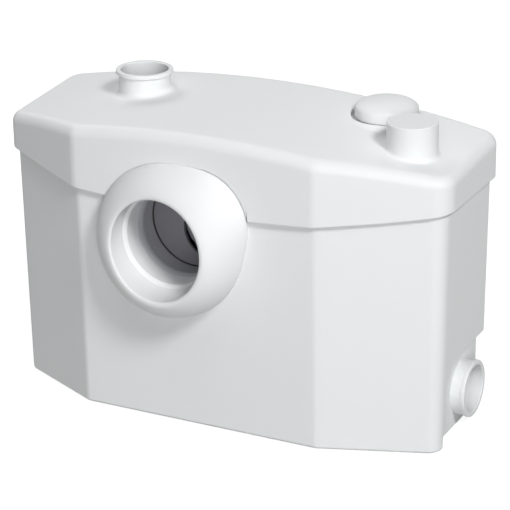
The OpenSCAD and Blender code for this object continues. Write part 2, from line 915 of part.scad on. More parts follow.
// Shrouded impeller with curved vanes, drawing from below
module impeller() {
    vane_end = vane_angle(impeller_r - vane_t);
    vane_start = vane_angle(impeller_hub_r - 1);
    color(dark_grey)
    difference() {
        union() {
            in_pump(impeller_top - shroud_t) cylinder(h = shroud_t, r = impeller_r);
            in_pump(shaft_bottom) cylinder(h = impeller_top - shaft_bottom, r = impeller_hub_r);
            for (k = [0 : vane_count - 1])
                in_pump(impeller_bottom)
                    rotate([0, 0, 360 * k / vane_count])
                        translate([vane_c, 0, 0])
                            rotate([0, 0, vane_end])
                                rotate_extrude(angle = vane_start - vane_end)
                                    translate([vane_r - vane_t / 2, 0])
                                        square([vane_t, impeller_top - impeller_bottom - 1]);
        }
        in_pump(impeller_bottom - over)
            cylinder(h = casing_h, r = shaft_r + running);
    }
}

module impeller_screw() {
    thread_h = 10;
    color(steel)
    at_pump(impeller_bottom) {
        cylinder(h = screw_head_h, r = shaft_r + 2);
        cylinder(h = screw_head_h + thread_h, r = shaft_r / 2);
    }
}

// Long bolts that clamp motor, basket and pump together
module tie_bolts() {
    head_h = 4;
    ear_top = basket_top + motor_floor;
    color(steel)
    for (a = tie_angles)
        at_pump(casing_top - 1)
            rotate([0, 0, a]) translate([tie_pcd_r, 0, 0]) {
                cylinder(h = ear_top - casing_top + 1, r = tie_rod_r);
                translate([0, 0, ear_top - casing_top + 1])
                    cylinder(h = head_h, r = tie_head_r, $fn = 6);
            }
}

// Sealed can with cooling ribs, the lower bearing's pocket and ears for the tie bolts
module motor_housing() {
    rib_count = 20;
    rib_w = 2.5;
    rib_d = 2;
    bearing_z = basket_top + motor_floor;
    color(dark_grey)
    difference() {
        union() {
            at_pump(basket_top) cylinder(h = motor_h, r = motor_r);
            for (k = [0 : rib_count - 1])
                at_pump(basket_top + motor_floor + 6)
                    rotate([0, 0, 360 * (k + 0.5) / rib_count])
                        translate([motor_r - 1, -rib_w / 2, 0])
                            cube([rib_d + 1, rib_w, motor_h - motor_floor - 16]);
            for (a = tie_angles)
                at_pump(basket_top)
                    rotate([0, 0, a]) translate([tie_pcd_r, 0, 0])
                        cylinder(h = motor_floor, r = ear_r);
        }
        difference() {
            at_pump(bearing_z) cylinder(h = motor_h, r = motor_in_r);
            at_pump(bearing_z - over) ring(bearing_r + bearing_wall, bearing_r + fit, bearing_h + over);
        }
        at_pump(basket_top - over) cylinder(h = motor_floor + 2 * over, r = shaft_r + gap);
        at_pump(basket_top - over) cylinder(h = seal_h + over, r = seal_r + fit);
        for (a = tie_angles)
            at_pump(basket_top - over)
                rotate([0, 0, a]) translate([tie_pcd_r, 0, 0])
                    cylinder(h = motor_floor + 2 * over, r = tie_rod_r + fit);
    }
}

// Domed end cap with the upper bearing's pocket
module motor_cap() {
    color(dark_grey)
    difference() {
        union() {
            at_pump(motor_top)
                rotate_extrude()
                    polygon([[0, 0], [motor_r, 0], [motor_r, cap_plate_t - 2],
                             [motor_r - 2, cap_plate_t], [motor_in_r - 1.5, cap_plate_t],
                             [motor_in_r - 10, cap_plate_t + cap_crown],
                             [0, cap_plate_t + cap_crown]]);
            at_pump(motor_top - bearing_h - 2)
                ring(bearing_r + bearing_wall, bearing_r + fit, bearing_h + 2 + over);
            at_pump(motor_top - cap_lip) ring(motor_in_r - fit, motor_in_r - 3, cap_lip + over);
        }
        at_pump(motor_top - over) cylinder(h = over, r = bearing_r + fit);
        for (a = tie_angles)
            at_pump(motor_top - over)
                rotate([0, 0, a + 45]) translate([motor_in_r + motor_wall / 2, 0, 0])
                    cylinder(h = cap_plate_t + 2 * over, r = 1.2 + fit);
    }
}

module motor_oring() {
    cord_r = 1.4;
    color(rubber)
    at_pump(motor_top - cap_lip - cord_r - fit)
        rotate_extrude() translate([motor_in_r - cord_r - fit, 0]) circle(r = cord_r, $fn = 24);
}

module cap_screws() {
    color(steel)
    for (a = tie_angles)
        at_pump(motor_top + cap_plate_t)
            rotate([0, 0, a + 45]) translate([motor_in_r + motor_wall / 2, 0, 0]) {
                translate([0, 0, -cap_plate_t + fit]) cylinder(h = cap_plate_t, r = 1.2);
                cylinder(h = 1.8, r = 2);
            }
}

// Stack of laminations with round coil slots
module stator_core() {
    color("#8d8f93")
    difference() {
        at_pump(stator_z) ring(motor_in_r - fit, rotor_r + air_gap, stator_h);
        for (k = [0 : coil_count - 1])
            at_pump(stator_z - over)
                rotate([0, 0, 360 * k / coil_count]) translate([coil_pcd_r, 0, 0])
                    cylinder(h = stator_h + 2 * over, r = coil_r + fit);
    }
}

// Coil sides through the slots, joined by the end turns
module stator_windings() {
    end_w = 11;
    color(copper) {
        for (z = [stator_z - end_turn_h, stator_z + stator_h])
            at_pump(z)
                ring(coil_pcd_r + end_w / 2, coil_pcd_r - end_w / 2, end_turn_h);
        for (k = [0 : coil_count - 1])
            at_pump(stator_z - over)
                rotate([0, 0, 360 * k / coil_count]) translate([coil_pcd_r, 0, 0])
                    cylinder(h = stator_h + 2 * over, r = coil_r);
    }
}

module rotor_core() {
    color("#8d8f93") at_pump(stator_z) ring(rotor_r, shaft_r + running, stator_h);
}

// Shaft from the impeller up to the upper bearing
module motor_shaft() {
    color(steel)
    difference() {
        at_pump(shaft_bottom) cylinder(h = shaft_top - shaft_bottom, r = shaft_r);
        at_pump(shaft_bottom - over) cylinder(h = 12 + over, r = shaft_r / 2 + running);
    }
}

module bearing(z) {
    groove = 1.2;
    mid_r = (bearing_r + shaft_r) / 2;
    color(steel)
    at_pump(z)
    difference() {
        ring(bearing_r, shaft_r + running, bearing_h);
        for (zz = [-over, bearing_h - groove])
            translate([0, 0, zz]) ring(mid_r + 2.5, mid_r - 2.5, groove + over);
    }
}

module upper_bearing() {
    bearing(motor_top - bearing_h - over);
}

module lower_bearing() {
    bearing(basket_top + motor_floor);
}

module shaft_seal() {
    color(rubber) at_pump(basket_top) ring(seal_r, shaft_r + running, seal_h);
}

// Terminal strip on the motor cap
module terminal_block() {
    poles = 5;
    pitch = 9;
    depth = 16;
    height = 13;
    z = motor_top + cap_plate_t + cap_crown;
    color(shade_white)
    difference() {
        at_pump(z) translate([-poles * pitch / 2, -depth / 2, 0]) cube([poles * pitch, depth, height]);
        for (k = [0 : poles - 1])
            at_pump(z + height - 5)
                translate([(k - (poles - 1) / 2) * pitch, 0, 0]) {
                    translate([0, -depth / 4, 0]) cylinder(h = 5 + over, r = 2.2);
                    translate([0, depth / 4, 0]) cylinder(h = 5 + over, r = 2.2);
                }
    }
}

// Straight and bend of the discharge pipe, along X and then up
function pipe_at(x, r) = [[x, 0, 0], [0, 1, 0], [0, 0, 1], r];
function pipe_turn(a, r) =
    [[outlet_run - pipe_bend * (1 - sin(a)), 0, pipe_bend * (1 - cos(a))],
     [0, 1, 0], [-sin(a), 0, cos(a)], r];
function pipe_end(h, r) = [[outlet_run, 0, h], [0, 1, 0], [-1, 0, 0], r];

// Socketed elbow and riser from the nozzle to the valve
module discharge_pipe() {
    socket_in = pipe_out_r + fit;
    x0 = nozzle_len - pipe_socket;
    x1 = nozzle_len + pipe_wall;
    top = valve_z + valve_socket - fit - nozzle_z;
    turn = [for (k = [0 : bend_steps]) 90 * k / bend_steps];
    back = [for (k = [bend_steps : -1 : 0]) 90 * k / bend_steps];
    color(shade_white)
    in_pump(nozzle_z)
        translate([0, -nozzle_off, 0])
            tube(concat([pipe_at(x0, pipe_socket_r), pipe_at(x1, pipe_socket_r),
                         pipe_at(x1, pipe_out_r)],
                        [for (a = turn) pipe_turn(a, pipe_out_r)],
                        [pipe_end(top, pipe_out_r), pipe_end(top, pipe_r)],
                        [for (a = back) pipe_turn(a, pipe_r)],
                        [pipe_at(nozzle_len, pipe_r), pipe_at(nozzle_len, socket_in),
                         pipe_at(x0, socket_in)]));
}

// Chamber of the non-return valve, with its seat and the sockets of both pipes
module valve_body() {
    sock = pipe_out_r + fit;
    top = valve_top - valve_z;
    floor_h = valve_socket + valve_seat_t;
    roof_h = floor_h + valve_h;
    color(shade_white)
    difference() {
        at_outlet(valve_z)
            rotate_extrude()
                polygon([[sock, 0], [sock + valve_wall, 0], [sock + valve_wall, valve_socket - 4],
                         [valve_r + valve_wall, valve_socket],
                         [valve_r + valve_wall, roof_h], [sock + valve_wall, roof_h + valve_cone],
                         [sock + valve_wall, top], [sock, top], [sock, roof_h + valve_cone],
                         [pipe_r, roof_h + valve_cone], [valve_r, roof_h], [valve_r, floor_h],
                         [valve_seat_r, floor_h], [valve_seat_r, valve_socket],
                         [sock, valve_socket]]);
        translate([valve_hinge_x, outlet_y, valve_hinge_z])
            rotate([90, 0, 0])
                cylinder(h = 2 * valve_r, r = valve_pin_r + fit, center = true);
    }
}

// Flap that lifts off its seat round the pin
module valve_flap() {
    ear_r = 2.1;
    ear_w = 8;
    color(rubber)
    difference() {
        union() {
            at_outlet(valve_floor + gap) cylinder(h = valve_flap_t, r = valve_flap_r);
            translate([valve_hinge_x, outlet_y - ear_w / 2, valve_floor + gap])
                cube([outlet_x - valve_hinge_x, ear_w, valve_flap_t]);
            translate([valve_hinge_x, outlet_y, valve_hinge_z])
                rotate([90, 0, 0]) cylinder(h = ear_w, r = ear_r, center = true);
        }
        translate([valve_hinge_x, outlet_y, valve_hinge_z])
            rotate([90, 0, 0])
                cylinder(h = ear_w + 2 * over, r = valve_pin_r + running, center = true);
    }
}

module valve_pin() {
    color(steel)
    translate([valve_hinge_x, outlet_y, valve_hinge_z])
        rotate([90, 0, 0])
            cylinder(h = 2 * sqrt(pow(valve_r + valve_wall / 2, 2)
                                  - pow(outlet_x - valve_hinge_x, 2)),
                     r = valve_pin_r, center = true);
}

// Straight tube from the valve up into the lid's stub
module outlet_tube() {
    z0 = valve_roof + valve_cone + fit;
    z1 = stub_edge_z - outlet_plug_h - 2;
    color(shade_white) at_outlet(z0) ring(pipe_out_r, pipe_r, z1 - z0);
}

module outlet_seal() {
    color(rubber)
    at_outlet(stub_edge_z - outlet_plug_h - 4 - outlet_seal_t)
        ring(stub_bore - fit, pipe_out_r + fit, outlet_seal_t);
}

// Flat blanking cap pushed into the stub
module outlet_cap() {
    color(white)
    at_outlet(stub_edge_z) {
        cylinder(h = outlet_cap_t, r = stub_r);
        translate([0, 0, -outlet_plug_h])
            ring(stub_bore - fit, stub_bore - 3, outlet_plug_h + over);
    }
}

// Low domed cap over the vent, with a plug ring in the lid
module vent_cap() {
    steps = 10;
    dome_h = vent_h - vent_edge;
    dome = [for (k = [0 : steps])
            let (a = 90 * k / steps)
            [vent_r * cos(a), vent_edge + dome_h * sin(a)]];
    seat = 0.6;
    color(white)
    translate([vent_x, vent_y, vent_rim_z]) {
        difference() {
            rotate_extrude() polygon(concat([[0, 0], [vent_r, 0]], dome));
            translate([0, 0, -over]) cylinder(h = over + seat, r = vent_boss_r + 1.5);
        }
        translate([0, 0, -vent_roof]) ring(vent_hole_r - fit, vent_hole_r - 3, vent_roof + over);
    }
}

// Carbon puck in the pocket below the vent
module vent_filter() {
    color(rubber)
    translate([vent_x, vent_y, vent_z - vent_drop + 1.5])
        cylinder(h = vent_drop - vent_roof - 1.5, r = vent_pocket_r - fit);
}

// Waste spigot through the recess wall, with the hinge lugs of its flap
module side_spigot() {
    lug_z = side_flange_r - 2.3;
    lug_top = side_hinge_z - side_z + 4;
    color(white)
    difference() {
        union() {
            translate([side_seat_x, 0, 0])
                at_side() cylinder(h = side_reach - side_seat_x, r = side_r);
            translate([side_seat_x, 0, 0])
                at_side() cylinder(h = side_flange_t, r = side_flange_r);
            translate([side_reach - side_lip_w, 0, 0])
                at_side() cylinder(h = side_lip_w, r = side_r + side_lip);
            for (s = [-1, 1])
                translate([0, side_y + s * (side_ear_w / 2 + gap + side_lug_w / 2) - side_lug_w / 2,
                           side_z]) {
                    translate([side_hinge_x - side_lug_x, 0, lug_z])
                        cube([side_seat_x + side_flange_t - side_hinge_x + side_lug_x, side_lug_w,
                              lug_top - lug_z]);
                    translate([side_seat_x, 0, port_r])
                        cube([side_flange_t, side_lug_w, lug_top - port_r]);
                }
        }
        translate([side_seat_x - over, 0, 0])
            at_side() cylinder(h = side_reach - side_seat_x + 2 * over, r = port_r);
        translate([side_hinge_x, side_y, side_hinge_z])
            rotate([90, 0, 0])
                cylinder(h = 2 * side_ear_w, r = side_pin_r + fit, center = true);
    }
}

module side_seal() {
    color(rubber)
    translate([side_in - side_seal_t, 0, 0])
        at_side() ring(side_flange_r, side_r + fit, side_seal_t);
}

// Rubber flap that swings inward under its pin
module side_flap() {
    knuckle = side_pin_r + 2;
    color(rubber)
    difference() {
        union() {
            translate([side_hinge_x - side_flap_t / 2, 0, 0])
                at_side() cylinder(h = side_flap_t, r = side_flap_r);
            translate([side_hinge_x - side_flap_t / 2 - 1.5, 0, 0])
                at_side() cylinder(h = side_flap_t, r = side_flap_r * 0.7);
            translate([side_hinge_x - side_flap_t / 2, side_y - side_ear_w / 2, side_z])
                cube([side_flap_t, side_ear_w, side_hinge_z - side_z]);
            translate([side_hinge_x, side_y, side_hinge_z])
                rotate([90, 0, 0]) cylinder(h = side_ear_w, r = knuckle, center = true);
        }
        translate([side_hinge_x, side_y, side_hinge_z])
            rotate([90, 0, 0])
                cylinder(h = side_ear_w + 2 * over, r = side_pin_r + running, center = true);
    }
}

module side_pin() {
    color(steel)
    translate([side_hinge_x, side_y, side_hinge_z])
        rotate([90, 0, 0])
            cylinder(h = side_ear_w + 2 * (gap + side_lug_w), r = side_pin_r, center = true);
}

module right_spigot() {
    side_spigot();
}

module right_spigot_seal() {
    side_seal();
}

module right_flap() {
    side_flap();
}

module right_flap_pin() {
    side_pin();
}

module left_spigot() {
    mirror([1, 0, 0]) side_spigot();
}

module left_spigot_seal() {
    mirror([1, 0, 0]) side_seal();
}

module left_flap() {
    mirror([1, 0, 0]) side_flap();
}

module left_flap_pin() {
    mirror([1, 0, 0]) side_pin();
}

// Shelf above the water that carries the level switch and the capacitor
module control_tray() {
    lip_t = 2;
    lip_h = 5;
    depth = tray_y1 - tray_y0;
    clear_r = tank_r(tray_z) - wall - 1;
    color(shade_white)
    difference() {
        intersection() {
            translate([switch_x - tray_w / 2, tray_y0, tray_z]) cube([tray_w, depth, tray_t + lip_h]);
            case_form([[clear_r, tray_z - over], [clear_r, tray_z + tray_t + lip_h + over]]);
        }
        translate([switch_x - tray_w / 2 + lip_t, tray_y0 + lip_t, tray_z + tray_t])
            cube([tray_w - 2 * lip_t, depth - 2 * lip_t, lip_h + over]);
        translate([switch_x, switch_y, tray_z - over])
            cylinder(h = tray_t + 2 * over, r = air_r + fit);
    }
}

// Dip tube whose trapped air presses on the membrane
module air_tube() {
    color(shade_white)
    translate([switch_x, switch_y, 0])
    difference() {
        union() {
            translate([0, 0, air_bottom]) cylinder(h = membrane_z - air_bottom, r = air_r);
            translate([0, 0, tray_z + tray_t]) cylinder(h = air_flange_t, r = air_flange_r);
        }
        translate([0, 0, air_bottom - over])
            cylinder(h = membrane_z - air_bottom + 2 * over, r = air_r - air_wall);
    }
}

module membrane() {
    color(rubber)
    translate([switch_x, switch_y, membrane_z]) cylinder(h = membrane_t, r = air_flange_r);
}

// Domed housing over the membrane, with the plunger's guide
module switch_housing() {
    color(dark_grey)
    translate([switch_x, switch_y, switch_z])
        rotate_extrude()
            polygon([[air_flange_r - switch_wall, 0], [air_flange_r, 0], [air_flange_r, switch_h],
                     [plunger_r + running, switch_h], [plunger_r + running, switch_h - switch_wall],
                     [air_flange_r - switch_wall, switch_h - switch_wall]]);
}

module plunger() {
    head_t = 2;
    top = plunger_top - switch_z;
    color(white)
    translate([switch_x, switch_y, switch_z])
        rotate_extrude()
            polygon([[0, gap], [plunger_head_r, gap], [plunger_head_r, gap + head_t],
                     [plunger_r, gap + head_t], [plunger_r, top - 2], [plunger_tip_r, top],
                     [0, top]]);
}

// Snap switch beside the plunger, with two cheeks that carry its rocker and a button under the far end
module microswitch() {
    cheek_w = 6;
    cheek_h = lever_z + lever_t + 3 - micro_z;
    button_r = 1.5;
    slot_w = micro_d - 2 * micro_cheek;
    color("#3a3c42")
    difference() {
        union() {
            translate([lever_x - cheek_w / 2, switch_y - micro_d / 2, micro_z])
                cube([lever_arm + lever_end + cheek_w / 2, micro_d, micro_top - micro_z]);
            translate([lever_x - cheek_w / 2, switch_y - micro_d / 2, micro_z])
                cube([cheek_w, micro_d, cheek_h]);
            translate([lever_x + lever_arm, switch_y, micro_top - over])
                cylinder(h = over + 1, r = button_r);
        }
        translate([lever_x - cheek_w / 2 - over, switch_y - slot_w / 2, micro_top - 1])
            cube([cheek_w + 2 * over, slot_w, cheek_h]);
        translate([lever_x, switch_y, lever_z + lever_t / 2])
            rotate([90, 0, 0]) cylinder(h = micro_d + 2 * over, r = lever_pin_r + running, center = true);
    }
}

// Balanced rocker: the plunger lifts one end and the other goes down to the button
module switch_lever() {
    width = micro_d - 2 * micro_cheek - 2 * gap;
    reach = lever_arm + lever_end;
    color(steel)
    translate([lever_x, switch_y, lever_z + lever_t / 2]) {
        cube([2 * reach, width, lever_t], center = true);
        rotate([90, 0, 0]) cylinder(h = micro_d, r = lever_pin_r, center = true);
    }
}

// Run capacitor lying on its saddle
module capacitor() {
    z = tray_z + tray_t + saddle_h + capacitor_r - 3;
    color("#d9dcde")
    translate([switch_x - capacitor_len / 2, capacitor_y, z])
        rotate([0, 90, 0])
            rotate_extrude()
                polygon([[0, 0], [capacitor_r - 1, 0], [capacitor_r, 1],
                         [capacitor_r, capacitor_len - 1], [capacitor_r - 1, capacitor_len],
                         [0, capacitor_len]]);
}

module capacitor_saddle() {
    width = 30;
    depth = 22;
    z = tray_z + tray_t;
    color(dark_grey)
    difference() {
        translate([switch_x - width / 2, capacitor_y - depth / 2, z]) cube([width, depth, saddle_h]);
        translate([switch_x - width / 2 - over, capacitor_y, z + saddle_h + capacitor_r - 3])
            rotate([0, 90, 0]) cylinder(h = width + 2 * over, r = capacitor_r + fit);
    }
}

// Grommet in the back of the tank for the supply cord
module cable_gland() {
    lean = draft * (1 - gland_z / tank_top);
    y_out = y_back - tank_inset - lean + 0.2;
    inside = 4;
    color(rubber)
    translate([gland_x, y_out, gland_z])
        rotate([-90, 0, 0])
            rotate_extrude()
                polygon([[gland_bore_r, -wall - inside], [gland_r, -wall - inside], [gland_r, 0],
                         [gland_flange_r, 0], [gland_flange_r, 1.6], [gland_r, gland_t],
                         [gland_bore_r, gland_t]]);
}

tank();
lid();
lid_gasket();
inlet_collar();
inlet_seal();
inlet_chute();
chute_seal();
chute_plate();
inlet_duct();
basket();
cutter_blade();
blade_hub();
pump_casing();
pump_base();
base_screws();
impeller();
impeller_screw();
tie_bolts();
motor_housing();
motor_cap();
motor_oring();
cap_screws();
stator_core();
stator_windings();
rotor_core();
motor_shaft();
upper_bearing();
lower_bearing();
shaft_seal();
terminal_block();
discharge_pipe();
valve_body();
valve_flap();
valve_pin();
outlet_tube();
outlet_seal();
outlet_cap();
vent_cap();
vent_filter();
right_spigot();
right_spigot_seal();
right_flap();
right_flap_pin();
left_spigot();
left_spigot_seal();
left_flap();
left_flap_pin();
control_tray();
air_tube();
membrane();
switch_housing();
plunger();
microswitch();
switch_lever();
capacitor();
capacitor_saddle();
cable_gland();
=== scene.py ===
"""Looks of the macerator toilet pump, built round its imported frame. Sizes are in millimetres."""

import json
import math

import bmesh
import bpy
import numpy as np
from mathutils import Matrix, Vector
from mathutils.geometry import delaunay_2d_cdt

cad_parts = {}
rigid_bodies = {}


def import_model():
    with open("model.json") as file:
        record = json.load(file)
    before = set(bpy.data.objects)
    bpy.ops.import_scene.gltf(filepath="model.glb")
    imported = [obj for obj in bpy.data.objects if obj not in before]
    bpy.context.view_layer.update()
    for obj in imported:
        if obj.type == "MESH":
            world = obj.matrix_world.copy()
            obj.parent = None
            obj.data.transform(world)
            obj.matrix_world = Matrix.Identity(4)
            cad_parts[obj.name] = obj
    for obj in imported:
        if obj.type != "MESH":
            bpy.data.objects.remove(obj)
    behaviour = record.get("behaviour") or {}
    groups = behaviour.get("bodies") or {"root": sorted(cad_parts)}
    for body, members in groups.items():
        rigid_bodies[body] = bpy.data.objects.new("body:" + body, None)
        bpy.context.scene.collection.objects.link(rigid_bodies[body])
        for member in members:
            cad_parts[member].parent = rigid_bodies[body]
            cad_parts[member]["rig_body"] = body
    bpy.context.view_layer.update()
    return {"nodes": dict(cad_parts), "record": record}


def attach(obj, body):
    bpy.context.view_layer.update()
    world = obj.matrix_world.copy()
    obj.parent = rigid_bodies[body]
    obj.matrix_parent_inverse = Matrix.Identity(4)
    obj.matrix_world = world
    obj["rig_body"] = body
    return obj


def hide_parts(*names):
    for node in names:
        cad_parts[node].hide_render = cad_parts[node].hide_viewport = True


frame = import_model()

MM = 0.001

# Plan of the case; its right front corner is further forward than in the frame
HALF_W = 201.0
CASE_D = 148.7
Y_FRONT = -CASE_D / 2
Y_BACK = CASE_D / 2
LEFT_SLANT = 41.5
RIGHT_SLANT = 35.5
FRONT_LEFT = -115.0
FRONT_RIGHT = 101.0
END_R = 16.0
FRONT_R = 20.0
PLAN = [
    ((HALF_W, Y_BACK), END_R),
    ((-HALF_W, Y_BACK), END_R),
    ((-HALF_W, Y_FRONT + LEFT_SLANT), END_R),
    ((FRONT_LEFT, Y_FRONT), FRONT_R),
    ((FRONT_RIGHT, Y_FRONT), FRONT_R),
    ((HALF_W, Y_FRONT + RIGHT_SLANT), FRONT_R),
]
FRONT_SIDE = 3

# Lid: crowned along the case, falling to the front, with a curved lower edge
LID_MIDDLE = 259.5
LID_CROWN = 20.8
LID_FALL = 9.8
PARTING_MIDDLE = 190.5
PARTING_RISE = 17.5
LID_WALL = 3.5
LID_EDGE = 10.0
LID_LIP = 0.8
RIM_UP = 10.0
GASKET = 2.8
SHOULDER = 7.8

# Tank
TANK_INSET = 4.3
TANK_TOP = 218.0
DRAFT = 2.5
WALL = 3.5
FLOOR_T = 4.0
FOOT_ROUND = 3.0
FLOOR_ROUND = 2.0
PAD_DEEP = WALL + DRAFT
PAD_SIDE = 1.4
PAD_FACE = 0.5
GLAND_X = -60.0
GLAND_Z = 172.0
GLAND_R = 6.1
OVERCUT = 2.0

# Ledges inside the tank: lowest and highest corner of each
LEDGE_LOW = 176.0
LEDGE_TOP = 184.0
LEDGES = [
    ((-173.0, 53.8, LEDGE_LOW), (-123.0, 68.0, LEDGE_TOP)),
    ((8.0 - HALF_W, -5.5, LEDGE_LOW), (-165.5, 61.35, LEDGE_TOP)),
]

# Pan socket and what is seen inside it; depths run back from the pad and are negative
SOCKET_X = -25.3
SOCKET_Z = 166.0
PAD_Y = Y_FRONT + TANK_INSET
THROAT_R = 39.0
NECK_R = 43.0
NECK_HOLE = 43.1
NECK_END = -11.0
SEAL_BORE = 37.5
SEAL_GAP = 0.1
CHUTE_R = 46.6
CHUTE_FRONT = -6.0
CHUTE_STEP = -22.0
CHUTE_BACK = -36.0
JOINT_BORE = 38.0
JOINT_BACK = -37.0
PLATE_BACK = -40.0
DUCT_MOUTH_R = 26.0
DUCT_MOUTH_AT = (16.0, -5.0)

# Soft collar: its mouth leans, its dome is round and its foot swells to the upper right
MOUTH_R = 42.0
MOUTH_H = 30.15
MOUTH_DEEP = 20.0
MOUTH_SHIFT = (-1.2, -2.75)
MOUTH_LEAN = (-0.080, 0.071)
LIP_R = 2.0
LIP_FLAT = 1.0
DOME_R = 64.8
DOME_H = 11.0
DOME_Z = 165.0
DOME_POWER = 1.5
FOOT_R = 63.6
SWELL = 11.7
SWELL_AT = 38.5
SWELL_WIDTH = 31.0
SWELL_POWER = 2.6
SWELL_SOFTEN = 0.25
SWELL_H = 3.0
SKIRT = 1.4
PAD_R = FOOT_R - 1.5
PAD_ROOM = 0.5
ARCH_GAP = 0.8
ARCH_TIP = 3.0

# Open port on the lid
PORT = (-96.5, 17.0)
PORT_R = 22.0
PORT_BORE = 20.0
PORT_H = 19.3
PORT_FOOT = 5.0
PORT_MID = 9.0
PORT_LIP_R = 24.2
PORT_LIP_H = 4.7
PORT_SKIRT = 27.0
FITTING_DEEP = 7.0

# Capped outlet
OUTLET = (157.0, -8.6)
STUB_R = 20.5
STUB_H = 24.5
STUB_BORE = 17.0
STUB_FOOT = 3.2
STUB_MID = 12.0
STUB_SKIRT = STUB_R + 4.0
CAP_T = 3.2
CAP_ROUND = 0.9
CAP_MID = 12.0
PLUG_R = 16.9
PLUG_BORE = 14.0
PLUG_H = 6.4

# Vent
VENT = (115.0, 38.0)
VENT_R = 25.9
VENT_SIDE = 7.0
VENT_DOME = 8.5
VENT_SEAT = 256.3
VENT_FLOOR = VENT_SEAT - 0.4
VENT_ROOM = 2.1
VENT_OFF = 1.2
VENT_GROOVE = 2.4
VENT_LAND_R = VENT_R - 3.2
VENT_HOLE = 17.0
VENT_ROUND = 0.4
VENT_HOLLOW_R = 22.0
VENT_HOLLOW = 0.6
VENT_PLUG_BORE = 13.9
VENT_PLUG_H = 4.0
FILTER_R = 27.2
FILTER_WALL_R = 30.0
FILTER_TOP = -4.6
FILTER_LOW = -16.0
BACK_STEP = 0.05

# Slope up to the vent's seat: distance out from its rim and share of the rise
SEAT_SLOPE = [(6.0, 0.0), (4.8, 0.06), (3.6, 0.22), (2.4, 0.5), (1.2, 0.82), (0.4, 1.0), (0.0, 1.0)]

# Side inlets
SIDE_Y = 34.6
SIDE_Z = 30.8
SIDE_SEAT = HALF_W - 23.5
SIDE_REACH = HALF_W - 3.0
SIDE_R = 23.2
SIDE_BORE = 20.0
SIDE_HOLE = 23.3
SIDE_LIP_R = 24.2
SIDE_LIP_H = 3.0
SIDE_ROUND = 0.8
FLANGE_R = 25.8
FLANGE_T = 3.0
LUG_APART = 10.9
LUG_HALF_T = 2.0
LUG_IN = 6.65
LUG_LOW = 54.3
LUG_TOP = 65.0
PIN_IN = 1.65
PIN_Z = 61.0
PIN_HOLE = 2.1
PIN_REACH = 20.0

# Corner recesses; past END_WALL and BACK_WALL their edges lie in the tank's outer walls
RECESS_X = HALF_W - 15.5
RECESS_Y = -24.5
RECESS_H = 73.0
RECESS_R = 36.0
RECESS_PAST = 5.0
RECESS_SOFT = 1.2
END_WALL = 190.0
BACK_WALL = 66.5
NEAR = 0.05

# Spacing of points, in millimetres along edges and in faces, and in degrees round corners
CORNER_STEP = 4.0
SIDE_STEP = 8.0
LID_GRID = 6.0
UNDER_GRID = 12.0
RIM_GRID = 14.0
FLOOR_GRID = 60.0
FRONT_XS = np.arange(-98.0, 90.0, 7.0)
ARCH_TURNS = np.arange(163.0, 16.9, -1.25)
ARCH_ROOM = 4.0

# Angles in degrees: past SHARP an edge stays sharp, past CREASE it can be rounded, below FLAT it goes
SHARP = 32.0
CREASE = 30.0
FLAT = 0.02

# Radius beside an axis
POLE = 0.01


def lid_top(x, y):
    """Height of the lid's outer surface."""
    return LID_MIDDLE - LID_CROWN * (x / HALF_W) ** 2 + LID_FALL * y / CASE_D


def lid_under(x, y):
    """Height of the lid's inner surface."""
    return lid_top(x, y) - LID_WALL


def lid_slope(x):
    """Rise of the lid's surface along x and y."""
    return np.array([-2 * LID_CROWN * x / HALF_W**2, LID_FALL / CASE_D])


def parting(x):
    """Height of the line where the lid ends, away from the arch."""
    return PARTING_MIDDLE + PARTING_RISE * (x / HALF_W) ** 2


def swell(t):
    """How far the collar's foot swells at angle t about the socket, from 0 to 1."""
    off = (math.degrees(t) - SWELL_AT + 180.0) % 360.0 - 180.0
    return math.exp(-abs(off / SWELL_WIDTH) ** SWELL_POWER)


def foot_r(t):
    """Radius of the collar's foot at angle t about the socket."""
    return FOOT_R + SWELL * swell(t)


STUB_EDGE = lid_top(*OUTLET) + STUB_H - CAP_T


# Mesh building


class Skin:
    """Vertices and faces of one piece, in millimetres."""

    def __init__(self):
        self.points = []
        self.faces = []

    def row(self, points):
        """Adds vertices and gives their numbers."""
        first = len(self.points)
        self.points.extend([tuple(float(c) for c in p) for p in points])
        return list(range(first, first + len(points)))

    def band(self, a, b):
        """Faces between two closed rows."""
        for i in range(len(a)):
            j = (i + 1) % len(a)
            self.faces.append((a[i], a[j], b[j], b[i]))

    def bands(self, rows):
        for a, b in zip(rows, rows[1:]):
            self.band(a, b)

    def ends(self, near, far):
        """Closes a tube of two rows with a face at each end."""
        self.faces.append(tuple(near))
        self.faces.append(tuple(reversed(far)))

    def fill(self, outer, holes, height, step):
        """Triangles between an outer loop and hole loops of existing vertices, at height(x, y)."""
        loops = [outer, *holes]
        known = [i for loop in loops for i in loop]
        flat = [Vector(self.points[i][:2]) for i in known]
        edges = []
        for loop in loops:
            first = len(edges)
            edges.extend((first + k, first + (k + 1) % len(loop)) for k in range(len(loop)))
        rings = [np.array([self.points[i][:2] for i in loop]) for loop in loops]
        inner = grid_in(rings, step)
        known.extend(self.row([(x, y, height(x, y)) for x, y in inner]))
        flat.extend(Vector(p) for p in inner)
        _, _, tris, origin, _, _ = delaunay_2d_cdt(flat, edges, [], 0, 1e-6)
        centres = [np.mean([flat[origin[i][0]] for i in t], axis=0) for t in tris]
        keep = inside(np.array(centres), rings)
        for t, good in zip(tris, keep):
            if good:
                self.faces.append(tuple(known[origin[i][0]] for i in t))

    def mesh(self, name):
        """The piece as a clean mesh in metres, its faces outward."""
        mesh = bpy.data.meshes.new(name)
        mesh.from_pydata((np.array(self.points) * MM).tolist(), [], self.faces)
        tidy(mesh)
        return mesh


